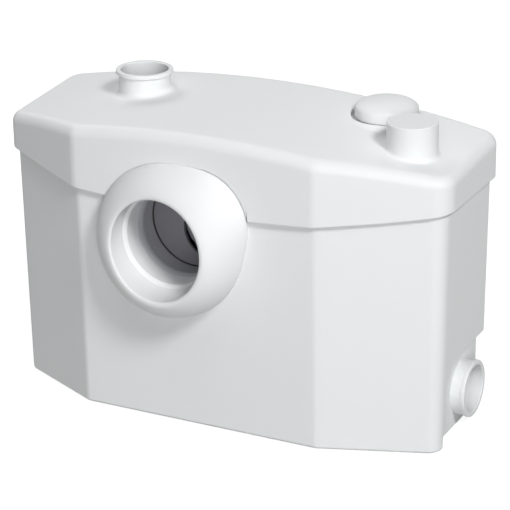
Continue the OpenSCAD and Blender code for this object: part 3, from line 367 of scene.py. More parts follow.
def in_ring(points, ring):
    """Which points lie inside a closed loop."""
    a, b = ring, np.roll(ring, -1, axis=0)
    x, y = points[:, :1], points[:, 1:]
    crosses = (a[:, 1] > y) != (b[:, 1] > y)
    rise = np.where(a[:, 1] == b[:, 1], 1e-12, b[:, 1] - a[:, 1])
    at = a[:, 0] + (y - a[:, 1]) * (b[:, 0] - a[:, 0]) / rise
    return (crosses & (x < at)).sum(1) % 2 == 1


def inside(points, rings):
    """Which points lie inside the first loop and outside the others."""
    good = in_ring(points, rings[0])
    for ring in rings[1:]:
        good &= ~in_ring(points, ring)
    return good


def grid_in(rings, step):
    """Points of a staggered grid well inside the loops."""
    lo, hi = rings[0].min(0), rings[0].max(0)
    points = []
    for j, y in enumerate(np.arange(lo[1] + step / 2, hi[1], step * 0.87)):
        shift = step / 2 * (j % 2)
        points.extend((x, y) for x in np.arange(lo[0] + shift, hi[0], step))
    points = np.array(points)
    points = points[inside(points, rings)]
    edge = np.concatenate(rings)
    near = np.array([np.min(np.hypot(*(edge - p).T)) for p in points])
    return points[near > step * 0.6]


def tidy(mesh):
    """Merges doubles, drops faces without area and turns all faces outward."""
    made = bmesh.new()
    made.from_mesh(mesh)
    bmesh.ops.remove_doubles(made, verts=made.verts, dist=2e-6)
    bmesh.ops.dissolve_degenerate(made, edges=made.edges, dist=1e-6)
    bmesh.ops.recalc_face_normals(made, faces=made.faces)
    made.to_mesh(mesh)
    made.free()


def plan_samples(front=None):
    """Points of the case's outline with their outward normals; front holds x places of the front."""
    corners = [np.array(p) for p, _ in PLAN]
    radii = [r for _, r in PLAN]
    count = len(corners)
    normals = []
    for i in range(count):
        d = corners[(i + 1) % count] - corners[i]
        d = d / np.hypot(*d)
        normals.append(np.array([d[1], -d[0]]))
    posts = []
    for i in range(count):
        a, b = normals[i - 1], normals[i]
        posts.append(corners[i] - radii[i] * (a + b) / (1 + a @ b))
    points, out = [], []
    for i in range(count):
        # the rounded corner
        a, b = normals[i - 1], normals[i]
        t0 = math.atan2(a[1], a[0])
        turn = (math.atan2(b[1], b[0]) - t0) % (2 * math.pi)
        steps = max(6, round(math.degrees(turn) / CORNER_STEP))
        for k in range(steps + 1):
            t = t0 + turn * k / steps
            n = np.array([math.cos(t), math.sin(t)])
            points.append(posts[i] + radii[i] * n)
            out.append(n)
        # the straight side after it
        j = (i + 1) % count
        start = posts[i] + radii[i] * b
        end = posts[j] + radii[j] * b
        if i == FRONT_SIDE and front is not None:
            xs = [x for x in front if start[0] + 1 < x < end[0] - 1]
            between = [np.array([x, start[1]]) for x in xs]
        else:
            steps = max(2, round(np.hypot(*(end - start)) / SIDE_STEP))
            between = [start + (end - start) * k / steps for k in range(1, steps)]
        points.extend(between)
        out.extend([b] * len(between))
    return np.array(points), np.array(out)


def turns(segments):
    """Angles of a full turn in equal steps."""
    return [2 * math.pi * k / segments for k in range(segments)]


def lathe(skin, profile, place, segments=128):
    """Turns a [radius, height] profile; place maps x, y, z to the object's frame."""
    rows = []
    for r, h in profile:
        ring = [place(r * math.cos(t), r * math.sin(t), h) for t in turns(segments)]
        rows.append(skin.row(ring))
    skin.bands(rows)
    return rows


def arc(cx, cy, r, a0, a1, steps):
    """Points of an arc, in degrees, from a0 to a1."""
    points = []
    for k in range(steps + 1):
        a = math.radians(a0 + (a1 - a0) * k / steps)
        points.append((cx + r * math.cos(a), cy + r * math.sin(a)))
    return points


def on_socket(x, y, z):
    """The socket's own frame, whose height runs forward."""
    return (SOCKET_X + x, PAD_Y - z, SOCKET_Z + y)


def to_right(x, y, z):
    """The right inlet's frame, whose height runs outward."""
    return (z, SIDE_Y + x, SIDE_Z + y)


def to_left(x, y, z):
    """The left inlet's frame, whose height runs outward."""
    return (-z, SIDE_Y + x, SIDE_Z + y)


def to_back(x, y, z):
    """The cable gland's frame, whose height runs backward."""
    return (GLAND_X + x, z, GLAND_Z + y)


# Materials


def node(tree, kind, links=None, **values):
    """A new node with its values set; links gives inputs a socket or a plain value."""
    made = tree.nodes.new(kind)
    for key, value in values.items():
        setattr(made, key, value)
    for socket, source in (links or {}).items():
        if hasattr(source, "is_output"):
            tree.links.new(source, made.inputs[socket])
        else:
            made.inputs[socket].default_value = source
    return made


def moulding_group():
    """Shared unevenness of a moulded surface: a slow tone, a fine grain and a slight ripple."""
    tree = bpy.data.node_groups.new("moulding", "ShaderNodeTree")
    tree.interface.new_socket("Ripple", in_out="INPUT", socket_type="NodeSocketFloat")
    tree.interface.new_socket("Tone", in_out="OUTPUT", socket_type="NodeSocketFloat")
    tree.interface.new_socket("Grain", in_out="OUTPUT", socket_type="NodeSocketFloat")
    tree.interface.new_socket("Normal", in_out="OUTPUT", socket_type="NodeSocketVector")
    start = tree.nodes.new("NodeGroupInput")
    place = node(tree, "ShaderNodeTexCoord").outputs["Object"]
    slow = node(tree, "ShaderNodeTexNoise", {"Vector": place, "Scale": 14.0, "Detail": 2.0})
    fine = node(tree, "ShaderNodeTexNoise", {"Vector": place, "Scale": 900.0, "Detail": 2.0})
    ripple = node(
        tree,
        "ShaderNodeBump",
        {
            "Strength": start.outputs["Ripple"],
            "Distance": 0.00005,
            "Height": fine.outputs["Fac"],
        },
    )
    end = tree.nodes.new("NodeGroupOutput")
    tree.links.new(slow.outputs["Fac"], end.inputs["Tone"])
    tree.links.new(fine.outputs["Fac"], end.inputs["Grain"])
    tree.links.new(ripple.outputs["Normal"], end.inputs["Normal"])
    return tree


MOULDING = moulding_group()


def material(name, colour, rough, metallic=0.0, spread=0.03, ripple=0.05, specular=0.5):
    """A Principled material whose tone and roughness wander a little over the surface."""
    made = bpy.data.materials.new(name)
    made.use_nodes = True
    tree = made.node_tree
    shader = tree.nodes["Principled BSDF"]
    uneven = node(tree, "ShaderNodeGroup", node_tree=MOULDING)
    uneven.inputs["Ripple"].default_value = ripple
    low = tuple(c * (1 - spread) for c in colour) + (1.0,)
    high = tuple(min(1.0, c * (1 + spread)) for c in colour) + (1.0,)
    tone = node(
        tree,
        "ShaderNodeMix",
        {0: uneven.outputs["Tone"], 6: low, 7: high},
        data_type="RGBA",
    )
    gloss = node(
        tree,
        "ShaderNodeMapRange",
        {
            "Value": uneven.outputs["Grain"],
            "To Min": rough * 0.93,
            "To Max": min(1.0, rough * 1.07),
        },
    )
    tree.links.new(tone.outputs[2], shader.inputs["Base Color"])
    tree.links.new(gloss.outputs["Result"], shader.inputs["Roughness"])
    tree.links.new(uneven.outputs["Normal"], shader.inputs["Normal"])
    shader.inputs["Metallic"].default_value = metallic
    shader.inputs["Specular IOR Level"].default_value = specular
    return made


LOOKS = {
    "case_white": material("case_white", (0.80, 0.815, 0.82), 0.5, spread=0.008, specular=0.3),
    "inner_white": material("inner_white", (0.72, 0.735, 0.74), 0.5, spread=0.02),
    "pale_rubber": material("pale_rubber", (0.53, 0.54, 0.56), 0.6),
    "black_rubber": material("black_rubber", (0.022, 0.022, 0.024), 0.65, spread=0.15),
    "grey_plastic": material("grey_plastic", (0.17, 0.167, 0.187), 0.45, spread=0.05),
    # Lighter copy of the grey plastic for the chute's drum deep in the socket: painted light, where
    # the drum would otherwise sit in shade
    "grey_plastic_painted_lit": material("grey_plastic_painted_lit", (0.38, 0.38, 0.40), 0.5, spread=0.03),
    "steel": material("steel", (0.55, 0.56, 0.58), 0.28, metallic=1.0, spread=0.04),
    "lamination": material("lamination", (0.26, 0.27, 0.28), 0.45, metallic=0.9),
    "copper_wire": material("copper_wire", (0.55, 0.22, 0.08), 0.35, metallic=1.0),
    "carbon": material("carbon", (0.02, 0.02, 0.02), 0.9, ripple=0.6, spread=0.3),
    "black_plastic": material("black_plastic", (0.03, 0.03, 0.035), 0.3, spread=0.1),
    "capacitor_can": material("capacitor_can", (0.66, 0.67, 0.68), 0.3, metallic=1.0),
}


def bake(made, step):
    """Turns an object's mesh with one live modifier into a plain mesh of the same name."""
    graph = bpy.context.evaluated_depsgraph_get()
    mesh = bpy.data.meshes.new_from_object(made.evaluated_get(graph))
    made.modifiers.remove(step)
    old, name = made.data, made.data.name
    made.data = mesh
    bpy.data.meshes.remove(old)
    mesh.name = name


def weigh_normals(made):
    """Lets large faces lead the shading, so that flat stretches stay flat beside their rounds."""
    step = made.modifiers.new("flat", "WEIGHTED_NORMAL")
    step.keep_sharp = True
    bake(made, step)


def dress(mesh, look):
    """Gives a mesh its look, smooth but for its sharp edges."""
    mesh.materials.clear()
    mesh.materials.append(LOOKS[look])
    mesh.shade_smooth()
    mesh.set_sharp_from_angle(angle=math.radians(SHARP))


def piece(name, mesh, slot, nodes, look=None):
    """Shows a finished mesh in place of frame nodes; its look is its slot's unless one is named."""
    made = bpy.data.objects.new(name, mesh)
    bpy.context.scene.collection.objects.link(made)
    dress(mesh, look or slot)
    weigh_normals(made)
    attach(made, frame["nodes"][nodes[0]]["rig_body"])
    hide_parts(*nodes)


# Lid


def arch_curve():
    """The arch over the collar: places along the front, from left to right, and their heights."""
    angles = np.radians(ARCH_TURNS)
    reach = [foot_r(t) + ARCH_GAP for t in angles]
    return SOCKET_X + reach * np.cos(angles), DOME_Z + reach * np.sin(angles)


ARCH_X, ARCH_Z = arch_curve()


def arch_xs():
    """Places along the front edge, close together where the arch is."""
    apart = (FRONT_XS < ARCH_X[0] - ARCH_ROOM) | (FRONT_XS > ARCH_X[-1] + ARCH_ROOM)
    return sorted({round(x, 3) for x in [*FRONT_XS[apart], *ARCH_X]})


def lid_edge(x):
    """Height of the lid's lower edge on the front, with the arch and its rounded tips."""
    level = parting(x)
    if not ARCH_X[0] < x < ARCH_X[-1]:
        return level
    arch = np.interp(x, ARCH_X, ARCH_Z)
    near = max(ARCH_TIP - abs(arch - level), 0.0) / ARCH_TIP
    return max(arch, level) + near**2 * ARCH_TIP / 4


def edge_way(outer, edge_z):
    """Direction of the lower edge at each point: its run along the outline and its rise."""
    steps = np.hypot(*(np.roll(outer, -1, axis=0) - outer).T)
    way = np.stack([steps + np.roll(steps, 1), np.roll(edge_z, -1) - np.roll(edge_z, 1)], 1)
    return way / np.hypot(*way.T)[:, None]


def top_round(outer, normal):
    """Start angle and centre height of the rounded top edge at each point of the outline."""
    start = np.zeros(len(outer))
    centre = np.zeros(len(outer))
    for k, (p, n) in enumerate(zip(outer, normal)):
        lean = math.atan(-(lid_slope((p - n * LID_EDGE)[0]) @ n))
        q = p - n * LID_EDGE * (1 - math.sin(lean))
        start[k] = lean
        centre[k] = lid_top(*q) - LID_EDGE * math.cos(lean)
    return start, centre


def lid_wall(skin):
    """Rounded edge, skirt and inside of the lid; gives the rows that bound its top and its roof."""
    outer, normal = plan_samples(arch_xs())
    front = np.abs(outer[:, 1] - Y_FRONT) < 0.01
    edge_z = np.array([lid_edge(p[0]) if f else parting(p[0]) for p, f in zip(outer, front)])
    way = edge_way(outer, edge_z)
    along = np.stack([-normal[:, 1], normal[:, 0]], 1)
    rows = []

    def add(inset, z):
        """A row set in from the outline, at heights z."""
        xy = outer - normal * np.reshape(inset, (-1, 1))
        rows.append(skin.row(np.column_stack([xy, z])))

    def add_lip(lift, inset):
        """A row near the lower edge, lifted square to the edge and set in."""
        xy = outer - normal * np.reshape(inset, (-1, 1))
        xy = xy - along * (way[:, 1] * lift)[:, None]
        rows.append(skin.row(np.column_stack([xy, edge_z + way[:, 0] * lift])))

    # rounded top edge
    start, centre = top_round(outer, normal)
    for s in np.linspace(0, 1, 13):
        a = start + (math.pi / 2 - start) * s
        add(LID_EDGE * (1 - np.sin(a)), centre + LID_EDGE * np.cos(a))
    # skirt and its lower lip, deeper where the arch is above the gasket
    low = edge_z + way[:, 0] * LID_LIP
    for s in (0.25, 0.5, 0.75):
        add(0.0, centre + (low - centre) * s)
    for a in np.radians([0, 30, 60, 90]):
        add_lip(LID_LIP * (1 - np.sin(a)), LID_LIP * (1 - np.cos(a)))
    gasket_top = parting(outer[:, 0]) + RIM_UP + GASKET
    depth = np.where(edge_z > gasket_top, SHOULDER, LID_WALL)
    for a in np.radians([0, 45, 90]):
        add_lip(LID_LIP * (1 - np.cos(a)), depth - LID_LIP * (1 - np.sin(a)))
    # inside of the skirt, the gasket's shoulder and the inner top edge
    shoulder = np.maximum(gasket_top, low + 0.1)
    add(depth, shoulder)
    add(SHOULDER, shoulder)
    inner_edge = LID_EDGE - SHOULDER
    roof = np.array([lid_under(*p) for p in outer - normal * LID_EDGE])
    for a in np.radians([90, 60, 30, 0]):
        add(SHOULDER + inner_edge * (1 - math.sin(a)), roof - inner_edge * (1 - math.cos(a)))
    skin.bands(rows)
    return rows[0], rows[-1]


def fitting(skin, centre, profile, segments=96):
    """Rings of a lid fitting: [radius, height, whether the height counts from the lid's surface]."""
    rows = []
    for r, h, on_lid in profile:
        points = []
        for t in turns(segments):
            x = centre[0] + r * math.cos(t)
            y = centre[1] + r * math.sin(t)
            points.append((x, y, lid_top(x, y) + h if on_lid else h))
        rows.append(skin.row(points))
    skin.bands(rows)
    return rows[0], rows[-1]


def fitting_foot(r, f):
    """Rounded foot of a fitting, which follows the lid's surface."""
    return [(r + x, y, True) for x, y in arc(f, f, f, 270, 180, 8)]


def level_rings(points):
    """Rings of a fitting at heights of their own."""
    return [(r, h, False) for r, h in points]


def port_profile():
    """Open port with a rounded lip, from its foot on the lid to its boss inside."""
    level = lid_top(*PORT)
    top = level + PORT_H
    neck = top - PORT_LIP_H
    deep = level - FITTING_DEEP
    wall = [(PORT_R, level + PORT_MID), (PORT_R, neck)]
    wall += arc(PORT_R + 1.0, neck + 0.4, 1.0, 180, 110, 4)
    wall += arc(PORT_LIP_R - 0.8, neck + 2.0, 0.8, -60, 0, 4)
    wall += arc(PORT_LIP_R - 1.0, top - 1.0, 1.0, 0, 90, 5)
    wall += arc(PORT_BORE + 1.0, top - 1.0, 1.0, 90, 180, 5)
    wall += [(PORT_BORE, deep), (PORT_SKIRT, deep)]
    return fitting_foot(PORT_R, PORT_FOOT) + level_rings(wall) + [(PORT_SKIRT, -LID_WALL, True)]


def stub_profile():
    """Stub of the outlet, from its foot on the lid to its boss inside."""
    level = lid_top(*OUTLET)
    deep = level - FITTING_DEEP
    wall = [(STUB_R, level + STUB_MID), (STUB_R, STUB_EDGE)]
    wall += [(STUB_BORE, STUB_EDGE), (STUB_BORE, deep), (STUB_SKIRT, deep)]
    return fitting_foot(STUB_R, STUB_FOOT) + level_rings(wall) + [(STUB_SKIRT, -LID_WALL, True)]


def vent_seat(skin, segments=96):
    """Level seat of the vent, sunk in the crowned lid on its high side and raised on its low one."""
    rim = VENT_R + VENT_ROOM
    room = Y_BACK - 1.1 * LID_EDGE - VENT[1]
    wall_room = room - 8 * BACK_STEP
    rows = []

    def add(r, height, back, off=VENT_OFF):
        """A ring off the vent's middle, flattened at the back where the lid's edge starts."""
        points = []
        for t in turns(segments):
            reach = min(r, back / max(math.sin(t), 1e-6))
            x = VENT[0] - off + reach * math.cos(t)
            y = VENT[1] + reach * math.sin(t)
            points.append((x, y, height(x, y)))
        rows.append(skin.row(points))

    def rise(share):
        return lambda x, y: lid_top(x, y) + share * max(0.0, VENT_SEAT - lid_top(x, y))

    for k, (out, share) in enumerate(SEAT_SLOPE):
        add(rim + out, rise(share), room - BACK_STEP * k)
    # groove round the cap, land under it, hole and room of the filter
    wall = [(rim, 0.0), (rim, -VENT_GROOVE), (VENT_LAND_R, -VENT_GROOVE), (VENT_LAND_R, 0.0)]
    wall += [(VENT_HOLE, 0.0), (VENT_HOLE, FILTER_TOP), (FILTER_R, FILTER_TOP)]
    wall += [(FILTER_R, FILTER_LOW), (FILTER_WALL_R, FILTER_LOW)]
    for r, h in wall:
        level = VENT_FLOOR + h
        add(r, lambda x, y: level, wall_room, VENT_OFF if r > VENT_R else 0.0)
    add(FILTER_WALL_R, lid_under, wall_room)
    skin.bands(rows)
    return rows[0], rows[-1]


def build_lid():
    """Shell of the lid with its port, outlet stub and vent seat."""
    skin = Skin()
    top, roof = lid_wall(skin)
    port = fitting(skin, PORT, port_profile())
    stub = fitting(skin, OUTLET, stub_profile())
    vent = vent_seat(skin)
    skin.fill(top, [port[0], stub[0], vent[0]], lid_top, LID_GRID)
    skin.fill(roof, [port[1], stub[1], vent[1]], lid_under, UNDER_GRID)
    return skin.mesh("lid_shell")


# Tank


def solid(skin, name):
    """A helper object of a closed skin."""
    made = bpy.data.objects.new(name, skin.mesh(name))
    bpy.context.scene.collection.objects.link(made)
    return made


def combined(base, tool, how):
    """base joined with, cut by or limited to tool, as a new mesh on base; tool is used up."""
    step = base.modifiers.new("cut", "BOOLEAN")
    step.object = tool
    step.operation = how
    step.solver = "EXACT"
    bake(base, step)
    used = tool.data
    bpy.data.objects.remove(tool)
    bpy.data.meshes.remove(used)


def take_mesh(body):
    """The clean mesh of a helper object, which is used up."""
    mesh = body.data
    bpy.data.objects.remove(body)
    tidy(mesh)
    return mesh


def case_solid(name, inset, levels, top):
    """Closed form with the case's plan: levels of [extra inset, height] below a top height(x)."""
    skin = Skin()
    outer, normal = plan_samples()
    rows = []

    def add(extra, z):
        """A row at heights z that leans with the walls, set in by extra."""
        lean = inset + DRAFT * (1 - z / TANK_TOP) + extra
        xy = outer - normal * np.reshape(lean, (-1, 1))
        rows.append(skin.row(np.column_stack([xy, z])))

    for extra, z in levels:
        add(extra, np.full(len(outer), z))
    rim = np.array([top(p[0]) for p in outer])
    first = levels[-1][1]
    for s in (0.33, 0.66, 1.0):
        add(0.0, first + (rim - first) * s)
    skin.bands(rows)
    skin.fill(rows[0], [], lambda x, y: levels[0][1], FLOOR_GRID)
    skin.fill(rows[-1], [], lambda x, y: top(x), RIM_GRID)
    return solid(skin, name)


def recess_solid(grow, side):
    """Prism of the corner recess grown by a wall; side is 1 for right and -1 for left."""
    skin = Skin()
    y0, z1, r = RECESS_Y - grow, RECESS_H + grow, RECESS_R + grow
    loop = [(y0, -RECESS_PAST)]
    loop += arc(y0 + r, z1 - r, r, 180, 90, 16)
    loop += [(Y_BACK + RECESS_PAST, z1), (Y_BACK + RECESS_PAST, -RECESS_PAST)]
    near = skin.row([(side * (RECESS_X - grow), y, z) for y, z in loop])
    far = skin.row([(side * (HALF_W + RECESS_PAST), y, z) for y, z in loop])
    skin.band(near, far)
    skin.ends(near, far)
    return solid(skin, "recess")


def drum(name, r, place, h0, h1, segments=128):
    """Closed cylinder between two heights of a placed frame."""
    skin = Skin()
    skin.ends(*lathe(skin, [(r, h0), (r, h1)], place, segments))
    return solid(skin, name)


def block(name, lo, hi):
    """Closed box between its lowest and its highest corner."""
    skin = Skin()
    loop = [(lo[0], lo[2]), (lo[0], hi[2]), (hi[0], hi[2]), (hi[0], lo[2])]
    low = skin.row([(x, lo[1], z) for x, z in loop])
    high = skin.row([(x, hi[1], z) for x, z in loop])
    skin.band(low, high)
    skin.ends(low, high)
    return solid(skin, name)


def bevel_where(mesh, chosen, width, segments):
    """Rounds the edges whose two ends satisfy chosen, in millimetres."""
    made = bmesh.new()
    made.from_mesh(mesh)
    edges = []
    for e in made.edges:
        if len(e.link_faces) != 2 or e.calc_face_angle(0.0) < math.radians(CREASE):
            continue
        ends = [np.array(v.co) / MM for v in e.verts]
        if chosen(ends[0]) and chosen(ends[1]):
            edges.append(e)
    bmesh.ops.bevel(
        made,
        geom=edges,
        offset=width * MM,
        segments=segments,
        profile=0.5,
        affect="EDGES",
        clamp_overlap=True,
    )
    bmesh.ops.recalc_face_normals(made, faces=made.faces)
    made.to_mesh(mesh)
    made.free()


def merge_flat(mesh):
    """Joins neighbouring faces that lie in one plane."""
    made = bmesh.new()
    made.from_mesh(mesh)
    limit = math.radians(FLAT)
    bmesh.ops.dissolve_limit(made, angle_limit=limit, verts=made.verts, edges=made.edges)
    made.to_mesh(mesh)
    made.free()


def tank_rim(x):
    """Height of the tank's rim, inside the lid."""
    return parting(x) + RIM_UP


def tank_outside():
    """The tank's outer form, rounded at the foot, with the collar's pad."""
    foot = []
    for a in np.radians([0, 22, 45, 67, 90]):
        foot.append((FOOT_ROUND * (1 - math.sin(a)), FOOT_ROUND * (1 - math.cos(a))))
    body = case_solid("tank_shell", TANK_INSET, foot, tank_rim)
    combined(body, drum("pad", PAD_R, on_socket, -PAD_DEEP, 0.0), "UNION")
    return body


def tank_room():
    """The room inside the tank, clear of the recesses, the pad and the ledges."""
    part = 0.3 * FLOOR_ROUND
    floor = [(FLOOR_ROUND, FLOOR_T), (part, FLOOR_T + part), (0.0, FLOOR_T + FLOOR_ROUND)]
    room = case_solid("room", TANK_INSET + WALL, floor, lambda x: tank_rim(x) + OVERCUT)
    for side in (1, -1):
        combined(room, recess_solid(WALL, side), "DIFFERENCE")
    pad = drum("pad_back", PAD_R - PAD_SIDE, on_socket, -PAD_DEEP, -PAD_FACE)
    combined(room, pad, "DIFFERENCE")
    for lo, hi in LEDGES:
        combined(room, block("ledge", lo, hi), "DIFFERENCE")
    return room


def on_recess_edge(p):
    """Whether a point lies on a recess's edge in the outer walls."""
    x, y, z = abs(p[0]), p[1], p[2]
    of_recess = x > RECESS_X - NEAR and y > RECESS_Y - NEAR and z < RECESS_H + NEAR
    return of_recess and (x > END_WALL or y > BACK_WALL or z < NEAR)


def build_tank():
    """Drafted shell with corner recesses, pad, ledges and holes."""
    body = tank_outside()
    room = tank_room()
    for side in (1, -1):
        combined(body, recess_solid(0.0, side), "DIFFERENCE")
    combined(body, room, "DIFFERENCE")
    neck = drum("neck", NECK_HOLE, on_socket, -PAD_DEEP - OVERCUT, OVERCUT)
    combined(body, neck, "DIFFERENCE")
    for place in (to_right, to_left):
        hole = drum("side_hole", SIDE_HOLE, place, RECESS_X - WALL - OVERCUT, RECESS_X + OVERCUT)
        combined(body, hole, "DIFFERENCE")
    back_inside = Y_BACK - TANK_INSET - DRAFT - WALL
    gland = drum("gland_hole", GLAND_R, to_back, back_inside - OVERCUT, Y_BACK + OVERCUT, 48)
    combined(body, gland, "DIFFERENCE")
    mesh = take_mesh(body)
    merge_flat(mesh)
    bevel_where(mesh, on_recess_edge, RECESS_SOFT, 3)
    return mesh


# Turned pieces


def collar_dome(t, a):
    """Radius, height and share of the lean on the collar's dome, from lip to foot as a goes to 90."""
    out = swell(t)
    bulge = 2 / (DOME_POWER - SWELL_SOFTEN * out)
    low = DOME_H + (SWELL_H - DOME_H) * (1 + math.cos(t - math.radians(SWELL_AT))) / 2
    wide = DOME_R + (FOOT_R + SWELL - DOME_R) * out
    start = MOUTH_R + LIP_R + LIP_FLAT
    share = math.cos(a) ** bulge
    return start + (wide - start) * math.sin(a) ** bulge, low + (MOUTH_H - low) * share, share


def build_collar(segments=192):
    """Soft collar: bore, rounded lip, dome and foot as rings that lean from the foot to the mouth."""
    skin = Skin()
    rows = []

    def add(at, middle):
        """One ring; at(t) gives radius, height and share of the lean, middle the foot's height."""
        points = []
        for t in turns(segments):
            r, h, lean = at(t)
            x, z = r * math.cos(t), r * math.sin(t)
            forward = h - lean * (MOUTH_LEAN[0] * x + MOUTH_LEAN[1] * z)
            level = middle + lean * (SOCKET_Z + MOUTH_SHIFT[1] - middle)
            points.append((SOCKET_X + lean * MOUTH_SHIFT[0] + x, PAD_Y - forward, level + z))
        rows.append(skin.row(points))

    # bore with its slanted step, and the lip
    step = MOUTH_H - MOUTH_DEEP
    bore = [(THROAT_R, NECK_END), (THROAT_R, step - 4.2), (THROAT_R + 0.2, step - 3.6)]
    bore += [(THROAT_R + 1.6, step - 0.6), (MOUTH_R - 0.9, step), (MOUTH_R, step + 9.0)]
    bore += arc(MOUTH_R + LIP_R, MOUTH_H - LIP_R, LIP_R, 180, 90, 8)
    upright_to = step - 4.0
    for r, h in bore:
        lean = (h - upright_to) / (MOUTH_H - LIP_R - upright_to)
        lean = min(1.0, max(0.0, lean))
        add(lambda t: (r, h, lean), SOCKET_Z)
    for a in np.radians(np.linspace(0, 90, 33)):
        add(lambda t: collar_dome(t, min(a, math.pi / 2 - 1e-9)), DOME_Z)
    # foot, skirt over the pad's edge and neck
    for h in (SWELL_H - 0.5, -SKIRT):
        add(lambda t: (foot_r(t), h, 0.0), DOME_Z)
    pad_edge = PAD_R + PAD_ROOM
    for r, h in [(pad_edge, -SKIRT), (pad_edge, 0.0), (NECK_R, 0.0), (NECK_R, NECK_END)]:
        add(lambda t: (r, h, 0.0), SOCKET_Z)
    skin.bands([*rows, rows[0]])
    return skin.mesh("collar_dome")


def build_ring(name, profile, place=on_socket, segments=160):
    """Turned piece from a closed profile."""
    skin = Skin()
    lathe(skin, [*profile, profile[0]], place, segments)
    return skin.mesh(name)


def build_seal():
    """Ring between the collar's neck and the chute, with a lip inwards."""
    back = CHUTE_STEP + SEAL_GAP
    front = NECK_END - SEAL_GAP
    profile = [(THROAT_R, back), (SEAL_BORE, (back + front) / 2), (THROAT_R, front)]
    return build_ring("throat_ring", [*profile, (NECK_R, front), (NECK_R, back)])


def build_chute():
    """Drum behind the collar, which takes its neck."""
    profile = [(THROAT_R, CHUTE_BACK), (THROAT_R, CHUTE_STEP), (NECK_HOLE, CHUTE_STEP)]
    profile += [(NECK_HOLE, CHUTE_FRONT), (CHUTE_R, CHUTE_FRONT), (CHUTE_R, CHUTE_BACK)]
    return build_ring("chute_wall", profile)


def build_joint():
    """Thin ring between the chute and the disc behind it."""
    profile = [(JOINT_BORE, JOINT_BACK), (JOINT_BORE, CHUTE_BACK)]
    profile += [(CHUTE_R, CHUTE_BACK), (CHUTE_R, JOINT_BACK)]
    return build_ring("chute_ring", profile)


def build_plate():
    """Disc behind the chute with the duct's mouth."""
    body = drum("plate", CHUTE_R, on_socket, PLATE_BACK, JOINT_BACK, 160)

    def at_mouth(x, y, z):
        return on_socket(x + DUCT_MOUTH_AT[0], y + DUCT_MOUTH_AT[1], z)

    mouth = drum("mouth", DUCT_MOUTH_R, at_mouth, PLATE_BACK - OVERCUT, JOINT_BACK + OVERCUT, 96)
    combined(body, mouth, "DIFFERENCE")
    return take_mesh(body)


def build_spigot(place, side):
    """Side inlet with a lipped end, an inner flange and the lugs of its flap."""
    skin = Skin()
    flange = SIDE_SEAT + FLANGE_T
    lip = SIDE_REACH - SIDE_LIP_H
    soft = SIDE_REACH - SIDE_ROUND
    profile = [(SIDE_BORE, SIDE_SEAT), (FLANGE_R, SIDE_SEAT), (FLANGE_R, flange), (SIDE_R, flange)]
    profile += [(SIDE_R, RECESS_X), (SIDE_R, lip - 0.6), (SIDE_R + 0.15, lip - 0.3), (SIDE_LIP_R, lip)]
    profile += arc(SIDE_LIP_R - SIDE_ROUND, soft, SIDE_ROUND, 0, 90, 4)
    profile += arc(SIDE_BORE + SIDE_ROUND, soft, SIDE_ROUND, 90, 180, 4)
    profile += [(SIDE_BORE, RECESS_X), (SIDE_BORE, SIDE_SEAT)]
    lathe(skin, profile, place)
    body = solid(skin, "spigot")
    x0, x1 = sorted((side * (SIDE_SEAT - LUG_IN), side * flange))
    for s in (-1, 1):
        y = SIDE_Y + s * LUG_APART
        lug = block("lug", (x0, y - LUG_HALF_T, LUG_LOW), (x1, y + LUG_HALF_T, LUG_TOP))
        combined(body, lug, "UNION")

    def at_pin(x, y, z):
        return (side * (SIDE_SEAT - PIN_IN) + x, SIDE_Y + z, PIN_Z + y)

    combined(body, drum("pin_hole", PIN_HOLE, at_pin, -PIN_REACH, PIN_REACH, 32), "DIFFERENCE")
    return take_mesh(body)


def upright(centre, base):
    """A frame on an upright axis."""

    def place(x, y, z):
        return (centre[0] + x, centre[1] + y, base + z)

    return place


def build_outlet_cap():
    """Flat cap with a plug in the outlet's stub."""
    profile = [(POLE, 0.0), (PLUG_BORE, 0.0), (PLUG_BORE, -PLUG_H), (PLUG_R, -PLUG_H)]
    profile += [(PLUG_R, 0.0), (STUB_R, 0.0)]
    profile += arc(STUB_R - CAP_ROUND, CAP_T - CAP_ROUND, CAP_ROUND, 0, 90, 5)
    profile += [(CAP_MID, CAP_T), (POLE, CAP_T)]
    return build_ring("outlet_disc", profile, upright(OUTLET, STUB_EDGE), 128)


def build_vent_cap():
    """Low domed cap, hollow below, with a plug in the lid."""
    profile = [(POLE, VENT_HOLLOW), (VENT_PLUG_BORE, VENT_HOLLOW), (VENT_PLUG_BORE, -VENT_PLUG_H)]
    profile += [(PLUG_R, -VENT_PLUG_H), (PLUG_R, VENT_HOLLOW), (VENT_HOLLOW_R, VENT_HOLLOW)]
    profile += [(VENT_HOLLOW_R, 0.0), (VENT_R - VENT_ROUND, 0.0), (VENT_R, VENT_ROUND)]
    for a in np.radians(np.linspace(0, 89.9, 28)):
        profile.append((VENT_R * math.cos(a), VENT_SIDE + VENT_DOME * math.sin(a)))
    return build_ring("vent_dome", profile, upright(VENT, VENT_FLOOR), 144)


piece("lid_cover", build_lid(), "case_white", ["lid"])
piece("tank_body", build_tank(), "case_white", ["tank"])
piece("pan_collar", build_collar(), "case_white", ["inlet_collar"])
piece("outlet_blank", build_outlet_cap(), "case_white", ["outlet_cap"])
piece("vent_cover", build_vent_cap(), "case_white", ["vent_cap"])
piece("inlet_right", build_spigot(to_right, 1), "case_white", ["right_spigot"])
piece("inlet_left", build_spigot(to_left, -1), "case_white", ["left_spigot"])
piece("throat_seal", build_seal(), "pale_rubber", ["inlet_seal"])
# The chute's drum takes a lighter copy of its grey plastic, painted light for the shade it sits in
piece("chute_drum", build_chute(), "grey_plastic", ["inlet_chute"], look="grey_plastic_painted_lit")
piece("chute_joint", build_joint(), "black_rubber", ["chute_seal"])
piece("chute_back", build_plate(), "grey_plastic", ["chute_plate"])

# Every other node keeps its form and takes its slot's look
slots = {s["node"]: s["material_slot"] for s in frame["record"]["subparts"]}
for name, obj in frame["nodes"].items():
    if obj.hide_render:
        continue
    dress(obj.data, slots[name])


# Floor, light and camera, in metres

